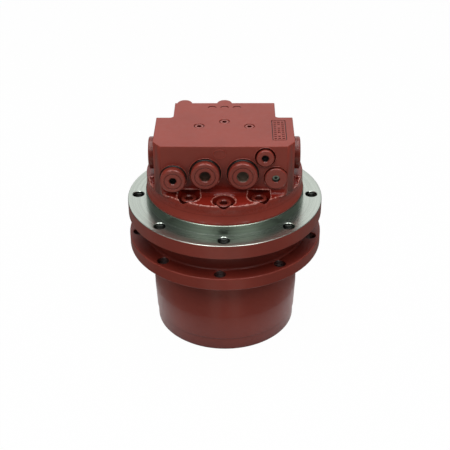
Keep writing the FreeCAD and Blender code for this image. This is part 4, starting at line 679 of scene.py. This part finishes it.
def circle_places(radius, count, first_deg):
    """Middles of the holes of a bolt circle."""
    angles = [math.radians(first_deg + 360.0 * k / count) for k in range(count)]
    return [(radius * math.cos(angle), radius * math.sin(angle)) for angle in angles]


def slab(shape, outline, low, high):
    """Closed prism over an outline of (x, y) points."""
    skin(shape, [[shape.verts.new((x, y, z)) for x, y in outline] for z in (low, high)])


def band(shape, inner, outer, low, high, closed):
    """Strip between two matching outlines, closed on itself or with square ends."""
    rows = []
    for (ix, iy), (ox, oy) in zip(inner, outer):
        rows.append([shape.verts.new((ix, iy, low)), shape.verts.new((ox, oy, low)),
                     shape.verts.new((ox, oy, high)), shape.verts.new((ix, iy, high))])
    skin(shape, rows, closed)


def round_box(low_x, low_y, high_x, high_y, radius, steps=6):
    """Outline of a rectangle with rounded corners, anticlockwise."""
    made = []
    corners = ((high_x - radius, high_y - radius, 0), (low_x + radius, high_y - radius, 90),
               (low_x + radius, low_y + radius, 180), (high_x - radius, low_y + radius, 270))
    for x, y, first in corners:
        for k in range(steps + 1):
            angle = math.radians(first + 90.0 * k / steps)
            made.append((x + radius * math.cos(angle), y + radius * math.sin(angle)))
    return made


def engraving(marks):
    """Cutters for the top face: three arcs, and a stamped panel with plain marks."""
    shape = bmesh.new()
    low = TOP_Z - marks.depth
    high = TOP_Z + 0.002
    for middle in ARC_MIDDLES:
        inner, outer = [], []
        for k in range(ARC_STEPS + 1):
            angle = math.radians(ARC_FIRST_DEG + ARC_TURN_DEG * k / ARC_STEPS)
            for made, extra in ((inner, 0.0), (outer, marks.line)):
                reach_x, reach_y = (r + extra * g for r, g in zip(ARC_REACH, ARC_GROWTH))
                made.append((middle + reach_x * math.cos(angle),
                             ARC_Y + reach_y * math.sin(angle)))
        band(shape, inner, outer, low, high, False)
    line = marks.line
    outer = round_box(*PANEL_LOW, *PANEL_HIGH, PANEL_CORNER)
    inner = round_box(PANEL_LOW[0] + line, PANEL_LOW[1] + line, PANEL_HIGH[0] - line,
                      PANEL_HIGH[1] - line, PANEL_CORNER - line / 2)
    band(shape, inner, outer, low, high, True)
    half_w, half_h = BAR_HALF
    for row in range(BAR_ROWS):
        for column in range(BAR_COLUMNS):
            if (row, column) in BARE_SPOTS:
                continue
            x = BAR_FIRST[0] + column * BAR_STEP[0]
            y = BAR_FIRST[1] + row * BAR_STEP[1]
            slab(shape, round_box(x - half_w, y - half_h, x + half_w, y + half_h, BAR_CORNER, 3),
                 TOP_Z - marks.depth * 0.8, high)
    return shape


def plain_block():
    """The valve block's node as a bmesh with its corners joined."""
    shape = bmesh.new()
    shape.from_mesh(frame["nodes"]["valve_block"].data)
    bmesh.ops.remove_doubles(shape, verts=shape.verts, dist=1e-6)
    return shape


def engraved_block(marks, material):
    """Valve block with its engraved top, in place of the plain node."""
    block = new_piece("valve_block_casting", plain_block(), material, "casing")
    shape = engraving(marks)
    bmesh.ops.recalc_face_normals(shape, faces=shape.faces)
    cutter = add_object("engraving_cutter", mesh_from("engraving_cutter", shape))
    cut = block.modifiers.new("engrave", "BOOLEAN")
    cut.operation = "DIFFERENCE"
    cut.solver = "EXACT"
    cut.object = cutter
    bpy.context.view_layer.update()
    done = bpy.data.meshes.new_from_object(
        block.evaluated_get(bpy.context.evaluated_depsgraph_get()))
    block.modifiers.clear()
    bpy.data.objects.remove(cutter)
    done.materials.clear()
    done.materials.append(material)
    for face in done.polygons:
        face.material_index = 0
        face.use_smooth = True
    done.set_sharp_from_angle(angle=math.radians(28))
    shade_planes_flat(done, 0.0004)
    block.data = done
    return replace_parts(block, "valve_block")


def shade_planes_flat(mesh, least_area):
    """Shade large planes flat, so that their light doesn't lean towards the next face."""
    shape = bmesh.new()
    shape.from_mesh(mesh)
    done = set()
    for start in shape.faces:
        if start in done:
            continue
        done.add(start)
        plane, waiting = [], [start]
        while waiting:
            face = waiting.pop()
            plane.append(face)
            for edge in face.edges:
                for other in edge.link_faces:
                    if other not in done and other.normal.dot(start.normal) > 0.99999:
                        done.add(other)
                        waiting.append(other)
        if sum(face.calc_area() for face in plane) > least_area:
            for face in plane:
                face.smooth = False
    shape.to_mesh(mesh)
    shape.free()


def rim_chains(wanted):
    """Lines of points along the valve block's outward edges that a rule picks out."""
    shape = plain_block()
    joined = {}
    for edge in shape.edges:
        if len(edge.link_faces) != 2 or not edge.is_convex:
            continue
        if edge.calc_face_angle(0.0) < math.radians(30):
            continue
        first, last = edge.verts
        if wanted((first.co + last.co) / 2):
            joined.setdefault(first.index, []).append(last.index)
            joined.setdefault(last.index, []).append(first.index)
    shape.verts.ensure_lookup_table()
    chains = []
    while joined:
        ends = [k for k, others in joined.items() if len(others) == 1]
        here = min(ends or joined)
        chain = [shape.verts[here].co.copy()]
        while joined.get(here):
            there = joined[here].pop()
            joined[there].remove(here)
            if not joined[here]:
                del joined[here]
            chain.append(shape.verts[there].co.copy())
            here = there
        joined.pop(here, None)
        chains.append(chain)
    shape.free()
    return chains


def even_steps(points, step):
    """The same line with its points about one step apart."""
    kept = [points[0]]
    for point in points[1:-1]:
        gap = (point - kept[-1]).length
        if gap >= step:
            for k in range(1, int(gap / step) + 1):
                kept.append(kept[-1].lerp(point, step / (point - kept[-1]).length))
    kept.append(points[-1])
    return kept


def bead(shape, points, thickness, ragged, rng):
    """Round bead of cast metal or paint along a line, with a ragged outline."""
    sides = 6
    rows = []
    wobble = 0.0
    across = None
    last = len(points) - 1
    for k, point in enumerate(points):
        ahead = (points[min(k + 1, last)] - points[max(k - 1, 0)]).normalized()
        across = ahead.orthogonal() if across is None else across - ahead * across.dot(ahead)
        across.normalize()
        up = ahead.cross(across)
        wobble = wobble * 0.55 + rng.uniform(-1, 1) * 0.45
        fade = 0.3 if k in (0, last) else 1.0
        size = thickness * (1.0 + ragged * wobble) * fade
        row = []
        for side in range(sides):
            around = 2 * math.pi * side / sides
            row.append(shape.verts.new(point + (across * math.cos(around)
                                                + up * math.sin(around)) * size))
        rows.append(row)
    skin(shape, rows)


def on_pocket_rim(point):
    """True by the edges that the ledge, the screw pockets and their niches end in."""
    if not LEDGE_Z - 0.0003 < point.z < LEDGE_Z + 0.015:
        return False
    reach = math.hypot(point.x, point.y)
    return reach > 0.055 and (reach < LEDGE_R - 0.0002 or point.z < LEDGE_Z + 0.0003)


def on_spot_rim(point):
    """True by the round edges of the front plugs' spot faces."""
    if abs(point.y - FRONT_Y) > 0.0002:
        return False
    return any(abs(math.hypot(point.x - plug.x, point.z - plug.z) - plug.spot_r) < 0.0004
               for plug in FRONT_PLUGS)


def oval_mark(shape):
    """Plain raised oval left by the mould on the front wall."""
    wall = FRONT_Y + 0.0001
    front = FRONT_Y - OVAL_RISE
    count = 48
    rows = []
    for k in range(count):
        angle = 2 * math.pi * k / count
        row = []
        for grow, y in ((0.0, wall), (0.15, front), (0.85, front), (1.0, wall)):
            row.append(shape.verts.new((
                OVAL_MIDDLE[0] + (OVAL_HALF[0] + OVAL_LINE * grow) * math.cos(angle), y,
                OVAL_MIDDLE[1] + (OVAL_HALF[1] + OVAL_LINE * grow) * math.sin(angle))))
        rows.append(row)
    skin(shape, rows, closed=True)


# ---- Operators --------------------------------------------------------------------------
class DRIVE_OT_castings(bpy.types.Operator):
    """Paint the hub and the motor casing, with bare turned faces where they bolt up"""
    bl_idname = "drive.castings"
    bl_label = "Hub and casing"

    def execute(self, context):
        paint, steel = context.scene.drive_paint, context.scene.drive_steel
        dress(["hub_housing"], hub_finish(paint, steel))
        dress(["motor_casing"], casing_finish(paint, steel))
        dress(["end_cover", "cover_plugs"], small_red_finish("cover_paint", paint, 0.00004))
        return {"FINISHED"}


class DRIVE_OT_block(bpy.types.Operator):
    """Engrave and paint the valve block"""
    bl_idname = "drive.block"
    bl_label = "Valve block"

    def execute(self, context):
        material = block_finish(context.scene.drive_paint)
        dress(["valve_block"], material)
        engraved_block(context.scene.drive_marks, material)
        return {"FINISHED"}


class DRIVE_OT_casting_marks(bpy.types.Operator):
    """Add the ragged edge of the ledge and the plain oval on the front wall"""
    bl_idname = "drive.casting_marks"
    bl_label = "Casting marks"

    def execute(self, context):
        paint = context.scene.drive_paint
        marks = context.scene.drive_marks
        rng = random.Random(7)
        # The beads' pale and lighter colours are painted highlights along the rims
        thin = flash_finish("flash_highlight_paint", paint, srgb(206, 138, 126))
        full = flash_finish("bead_highlight_paint", paint, srgb(168, 86, 74))
        for name, wanted, thickness, ragged, material in (
                ("pocket_flash", on_pocket_rim, marks.flash, 0.7, thin),
                ("spot_face_beads", on_spot_rim, marks.flash * 0.5, 0.35, full)):
            shape = bmesh.new()
            for chain in rim_chains(wanted):
                points = even_steps(chain, BEAD_STEP)
                if len(points) > 3:
                    bead(shape, points, thickness, ragged, rng)
            new_piece(name, shape, material, "casing")
        shape = bmesh.new()
        oval_mark(shape)
        oval_paint = small_red_finish("oval_paint", paint, 0.00003)
        new_piece("front_oval_mark", shape, oval_paint, "casing")
        return {"FINISHED"}


class DRIVE_OT_plugs(bpy.types.Operator):
    """Paint the plugs, caps and screws of the valve block"""
    bl_idname = "drive.plugs"
    bl_label = "Plugs, caps and screws"

    def execute(self, context):
        paint, steel = context.scene.drive_paint, context.scene.drive_steel
        # Black sockets are painted shade; the brown, worn and grey ones are their own colour
        black, brown, worn = srgb(24, 13, 11), srgb(72, 46, 32), srgb(104, 88, 74)
        for node, sockets in (("plug_front_left", [(PLUG_LEFT, black, 0.0)]),
                              ("relief_valve_plugs", [(RELIEF_LEFT, brown, 0.0),
                                                      (RELIEF_RIGHT, worn, 0.3)]),
                              ("speed_spool_plug", [(SPEED_PLUG, black, 0.0)]),
                              ("gauge_port_plug", [(GAUGE_PLUG, srgb(60, 58, 54), 0.7)])):
            dress([node], plug_finish(node, paint, sockets))
        dress(["spool_caps", "block_screws", "top_plugs"],
              small_red_finish("fastener_paint", paint, 0.00004, shaded_sockets=True))
        # Painted shade: the gauge port screw's steel at half brightness, dark in its hole
        dress(["gauge_port_screw"],
              steel_finish("shaded_screw_steel", shade(steel.turned, 0.5), 0.30, 0.00003))
        return {"FINISHED"}


class DRIVE_OT_gears(bpy.types.Operator):
    """Finish the two planetary stages, their carriers and pins"""
    bl_idname = "drive.gears"
    bl_label = "Gear train"

    def execute(self, context):
        steel = context.scene.drive_steel
        wheels = [n for n in frame["nodes"] if "planet_" in n]
        wheels += ["ring_gear", "drive_gear", "stage2_sun_gear"]
        dress(wheels, steel_finish("gear_steel", steel.gears, 0.30, 0.00003))
        dress(["stage1_carrier", "ring_nut", "motor_shaft", "thrust_button"],
              steel_finish("forged_steel", shade(steel.gears, 1.15), 0.38, 0.00005))
        dress(["stage1_pins", "stage2_pins"],
              steel_finish("ground_pins", steel.bearings, 0.20, 0.00002))
        return {"FINISHED"}


class DRIVE_OT_bearings(bpy.types.Operator):
    """Finish the bearings, rollers, snap ring and lapped seal rings"""
    bl_idname = "drive.bearings"
    bl_label = "Bearings and seals"

    def execute(self, context):
        steel = context.scene.drive_steel
        dress(["main_bearing_outer_races", "main_bearing_inner_races", "main_bearing_balls",
               "stage1_rollers", "stage2_rollers", "shaft_bearings", "front_bearing_inner",
               "pivot_balls"],
              steel_finish("ground_bearing_steel", steel.bearings, 0.16, 0.00001, aniso=0.2,
                           oil=0.25))
        dress(["seal_ring_lower", "seal_ring_upper"],
              steel_finish("lapped_iron", shade(steel.turned, 0.7), 0.22, 0.00002))
        dress(["cover_snap_ring"],
              steel_finish("snap_ring_steel", shade(steel.springs, 1.4), 0.34, 0.00004))
        dress(["hub_rubber_seals", "casing_rubber_seals", "shaft_oil_seal", "plug_seals"],
              rubber_finish("seal_rubber", steel.rubber))
        return {"FINISHED"}


class DRIVE_OT_motor(bpy.types.Operator):
    """Finish the piston motor, the brake, the spools and every spring"""
    bl_idname = "drive.motor"
    bl_label = "Motor, brake and spools"

    def execute(self, context):
        steel = context.scene.drive_steel
        dress(["cylinder_block", "swash_plate", "speed_piston", "brake_piston",
               "brake_separators"],
              steel_finish("motor_steel", shade(steel.gears, 1.3), 0.26, 0.00003, aniso=0.2))
        dress(["pistons", "counterbalance_spool", "speed_spool", "ball_guide"],
              steel_finish("lapped_steel", steel.bearings, 0.14, 0.00001))
        dress(["valve_plate", "piston_shoes", "retainer_plate"],
              steel_finish("pump_bronze", steel.bronze, 0.30, 0.00003))
        dress(["brake_friction_discs"], lining_finish("brake_lining", steel.lining))
        dress(["block_spring", "spool_springs", "speed_spool_spring", "brake_disc_spring"],
              steel_finish("spring_steel", steel.springs, 0.36, 0.00004))
        return {"FINISHED"}


class DRIVE_OT_threads(bpy.types.Operator):
    """Cut the threads of the frame holes, sprocket holes and hose ports"""
    bl_idname = "drive.threads"
    bl_label = "Threads"

    def execute(self, context):
        steel, cut = context.scene.drive_steel, context.scene.drive_threads
        paint = context.scene.drive_paint
        # Painted shade: thread steel at a tenth of turned steel, so the holes read dark
        material = steel_finish("shaded_thread_steel", shade(steel.turned, 0.10), 0.32, 0.00002)
        shape = bmesh.new()
        for x, y in circle_places(FRAME_BOLT_R, FRAME_HOLES, FRAME_FIRST_DEG):
            place = Matrix.Translation((x, y, FACE_Z - FLANGE_T))
            thread(shape, place, 0.0, FRAME_THREAD_L, HOLE_R, cut.bolt_pitch, cut.depth, cut.steps)
        new_piece("frame_hole_threads", shape, material, "casing")
        shape = bmesh.new()
        for x, y in circle_places(SPROCKET_BOLT_R, SPROCKET_HOLES, SPROCKET_FIRST_DEG):
            place = Matrix.Translation((x, y, SPROCKET_FACE_Z + THREAD_GAP))
            thread(shape, place, 0.0, SPROCKET_THREAD_L, HOLE_R, cut.bolt_pitch, cut.depth,
                   cut.steps)
        # Painted shade: sprocket hole threads in much darkened red paint
        painted = steel_finish("shaded_painted_threads", shade(paint.red, 0.16), 0.5, 0.00003, 0.0)
        new_piece("sprocket_hole_threads", shape, painted, "hub")
        shape = bmesh.new()
        for name in PORTS:
            mount = MOUNTS[name]
            length = mount["dims"]["length_mm"] * MM
            x, y, z = mount["pos_m"]
            place = Matrix.Translation((x, y - length / 2, z)) @ Matrix.Rotation(
                math.radians(-90), 4, "X")
            thread(shape, place, 0.001, length - 0.002, mount["dims"]["r_mm"] * MM,
                   cut.port_pitch, cut.depth * 0.7, cut.steps)
        new_piece("port_threads", shape, material, "casing")
        return {"FINISHED"}


def area_lamp(name, place, aim, width, height, power):
    data = bpy.data.lights.new(name, "AREA")
    data.shape = "RECTANGLE"
    data.size = width
    data.size_y = height
    data.energy = power
    lamp = add_object(name, data)
    lamp.location = place
    lamp.rotation_euler = (Vector(aim) - Vector(place)).to_track_quat("-Z", "Y").to_euler()
    return lamp


def seen(tree):
    """Socket that is 1 for camera, glossy and transmission rays."""
    path = tree.nodes.new("ShaderNodeLightPath")
    total = path.outputs["Is Camera Ray"]
    for name in ("Is Glossy Ray", "Is Transmission Ray"):
        most = tree.nodes.new("ShaderNodeMath")
        most.operation = "MAXIMUM"
        tree.links.new(total, most.inputs[0])
        tree.links.new(path.outputs[name], most.inputs[1])
        total = most.outputs[0]
    return total


def studio_floor():
    """Pale floor that shows white and keeps a soft shadow."""
    shape = bmesh.new()
    bmesh.ops.create_grid(shape, x_segments=8, y_segments=8, size=9.0)
    mesh = mesh_from("studio_floor", shape)
    floor = add_object("studio_floor", mesh)
    floor.location = (0, 0, -0.0002)
    finish = Finish("floor_white")
    grain = finish.noise(30.0, 3.0)
    pale = finish.blend(grain, (0.90, 0.90, 0.90, 1), (0.93, 0.93, 0.93, 1))
    finish.set(Base_Color=finish.blend(seen(finish.tree), (0.40, 0.40, 0.40, 1), pale),
               Roughness=0.6, Specular_IOR_Level=0.2)
    glow = finish.node("ShaderNodeEmission", {}, {0: (1, 1, 1, 1), 1: 1.0})
    part = finish.node("ShaderNodeMath", {"operation": "MULTIPLY"}, {0: seen(finish.tree),
                                                                      1: 0.985})
    mixed = finish.node("ShaderNodeMixShader", {}, {0: part.outputs[0],
                                                    1: finish.shader.outputs[0],
                                                    2: glow.outputs[0]})
    finish.tree.links.new(mixed.outputs[0], finish.output.inputs[0])
    mesh.materials.append(finish.material)


def reflected_only(name, shape, material):
    """Cloth that only reflections see, neither the camera nor soft light."""
    mesh = mesh_from(name, shape)
    mesh.materials.append(material)
    cloth = add_object(name, mesh)
    cloth.visible_camera = False
    cloth.visible_diffuse = False
    cloth.visible_shadow = False


def ring_strip(shape, heights, first_deg, last_deg, steps):
    """Strip of faces round the Z axis through (radius, height) pairs."""
    rows = []
    for k in range(steps + 1):
        angle = math.radians(first_deg + (last_deg - first_deg) * k / steps)
        rows.append([shape.verts.new((r * math.cos(angle), r * math.sin(angle), z))
                     for r, z in heights])
    for first, second in zip(rows, rows[1:]):
        for k in range(len(heights) - 1):
            shape.faces.new((first[k], second[k], second[k + 1], first[k + 1]))


def studio_cloths():
    """Dark curtain round the front and sides, and a mat, both with pale strips."""
    curtain = Finish("curtain_cloth")
    weave = curtain.noise(60.0, 3.0)
    turn = abs(curtain.x.angle(0.0 - curtain.y))
    strip = turn.ramp(0.10, 0.18) * turn.ramp(0.62, 0.46)
    dark = curtain.blend(weave, (0.006, 0.020, 0.017, 1), (0.012, 0.030, 0.026, 1))
    curtain.set(Base_Color=curtain.blend(strip, dark, (0.40, 0.42, 0.37, 1)), Roughness=0.9)
    shape = bmesh.new()
    ring_strip(shape, [(CURTAIN_R, z) for z in CURTAIN_HEIGHTS], *CURTAIN_DEGS, 58)
    reflected_only("studio_curtain", shape, curtain.material)
    mat = Finish("mat_cloth")
    weave = mat.noise(60.0, 3.0)
    turn = abs(mat.x.angle(0.0 - mat.y))
    strip = turn.ramp(0.06, 0.11) * turn.ramp(0.34, 0.26)
    side = turn.ramp(1.15, 1.45)
    dark = mat.blend(weave, (0.040, 0.062, 0.052, 1), (0.055, 0.080, 0.068, 1))
    colour = mat.blend(strip, dark, (0.86, 0.90, 0.80, 1))
    colour = mat.blend(side, colour, (0.27, 0.28, 0.26, 1))
    mat.set(Base_Color=colour, Roughness=0.9)
    shape = bmesh.new()
    ring_strip(shape, [(r, 0.001) for r in MAT_RADII], 0, 360, 72)
    reflected_only("studio_mat", shape, mat.material)


def studio_room(strength):
    """Even light all round, behind which the camera and reflections see white."""
    world = bpy.data.worlds.new("studio_world")
    bpy.context.scene.world = world
    world.use_nodes = True
    tree = world.node_tree
    tree.nodes.clear()
    room = tree.nodes.new("ShaderNodeBackground")
    room.inputs[1].default_value = strength
    white = tree.nodes.new("ShaderNodeBackground")
    for node in (room, white):
        node.inputs[0].default_value = (1, 1, 1, 1)
    mixed = tree.nodes.new("ShaderNodeMixShader")
    output = tree.nodes.new("ShaderNodeOutputWorld")
    tree.links.new(seen(tree), mixed.inputs[0])
    tree.links.new(room.outputs[0], mixed.inputs[1])
    tree.links.new(white.outputs[0], mixed.inputs[2])
    tree.links.new(mixed.outputs[0], output.inputs[0])


def studio_camera(lens):
    data = bpy.data.cameras.new("camera")
    data.lens = lens
    data.sensor_width = 36.0
    data.clip_end = 50.0
    camera = add_object("camera", data)
    camera.location = CAMERA_PLACE
    aim = Vector((0, 0, CAMERA_AIM_Z)) - camera.location
    roll = Matrix.Rotation(math.radians(CAMERA_ROLL_DEG), 3, "Z")
    camera.rotation_euler = (aim.to_track_quat("-Z", "Y").to_matrix() @ roll).to_euler()
    bpy.context.scene.camera = camera


class DRIVE_OT_studio(bpy.types.Operator):
    """Set the floor, the soft lamps, the room light and the camera"""
    bl_idname = "drive.studio"
    bl_label = "Studio and camera"

    def execute(self, context):
        studio = context.scene.drive_studio
        studio_floor()
        studio_cloths()
        area_lamp("lamp_top", (0.0, 0.05, 1.45), (0, 0, 0.15), 1.3, 1.1, studio.top)
        for side in (-1, 1):
            tall = area_lamp("lamp_side_%s" % ("left" if side < 0 else "right"),
                             (side * 1.25, -0.10, 0.95), (0, 0, 0.15), 0.7, 0.9, studio.side)
            tall.visible_glossy = False
            area_lamp("lamp_front_%s" % ("left" if side < 0 else "right"),
                      (side * 0.55, -0.95, 1.35), (0, 0, 0.12), 0.5, 0.5, studio.front)
        studio_room(studio.ambient)
        studio_camera(studio.lens)
        context.scene.view_settings.view_transform = "Standard"
        return {"FINISHED"}


OPERATORS = (DRIVE_OT_castings, DRIVE_OT_block, DRIVE_OT_casting_marks, DRIVE_OT_plugs,
             DRIVE_OT_gears, DRIVE_OT_bearings, DRIVE_OT_motor, DRIVE_OT_threads,
             DRIVE_OT_studio)


class DRIVE_PT_panel(bpy.types.Panel):
    """The drive's pieces and studio"""
    bl_idname = "DRIVE_PT_panel"
    bl_label = "Final Drive"
    bl_space_type = "VIEW_3D"
    bl_region_type = "UI"
    bl_category = "Final Drive"

    def draw(self, context):
        for group in GROUPS:
            settings = getattr(context.scene, group)
            box = self.layout.box()
            for key in settings.bl_rna.properties.keys():
                if key not in ("rna_type", "name"):
                    box.prop(settings, key)
        for operator in OPERATORS:
            self.layout.operator(operator.bl_idname)


def register():
    for made in SETTINGS + OPERATORS + (DRIVE_PT_panel,):
        bpy.utils.register_class(made)
    for name, settings in zip(GROUPS, SETTINGS):
        setattr(bpy.types.Scene, name, PointerProperty(type=settings))


def unregister():
    for name in GROUPS:
        delattr(bpy.types.Scene, name)
    for made in reversed(SETTINGS + OPERATORS + (DRIVE_PT_panel,)):
        bpy.utils.unregister_class(made)


def main():
    register()
    bpy.ops.drive.castings()
    bpy.ops.drive.block()
    bpy.ops.drive.casting_marks()
    bpy.ops.drive.plugs()
    bpy.ops.drive.gears()
    bpy.ops.drive.bearings()
    bpy.ops.drive.motor()
    bpy.ops.drive.threads()
    bpy.ops.drive.studio()


if __name__ == "__main__":
    main()
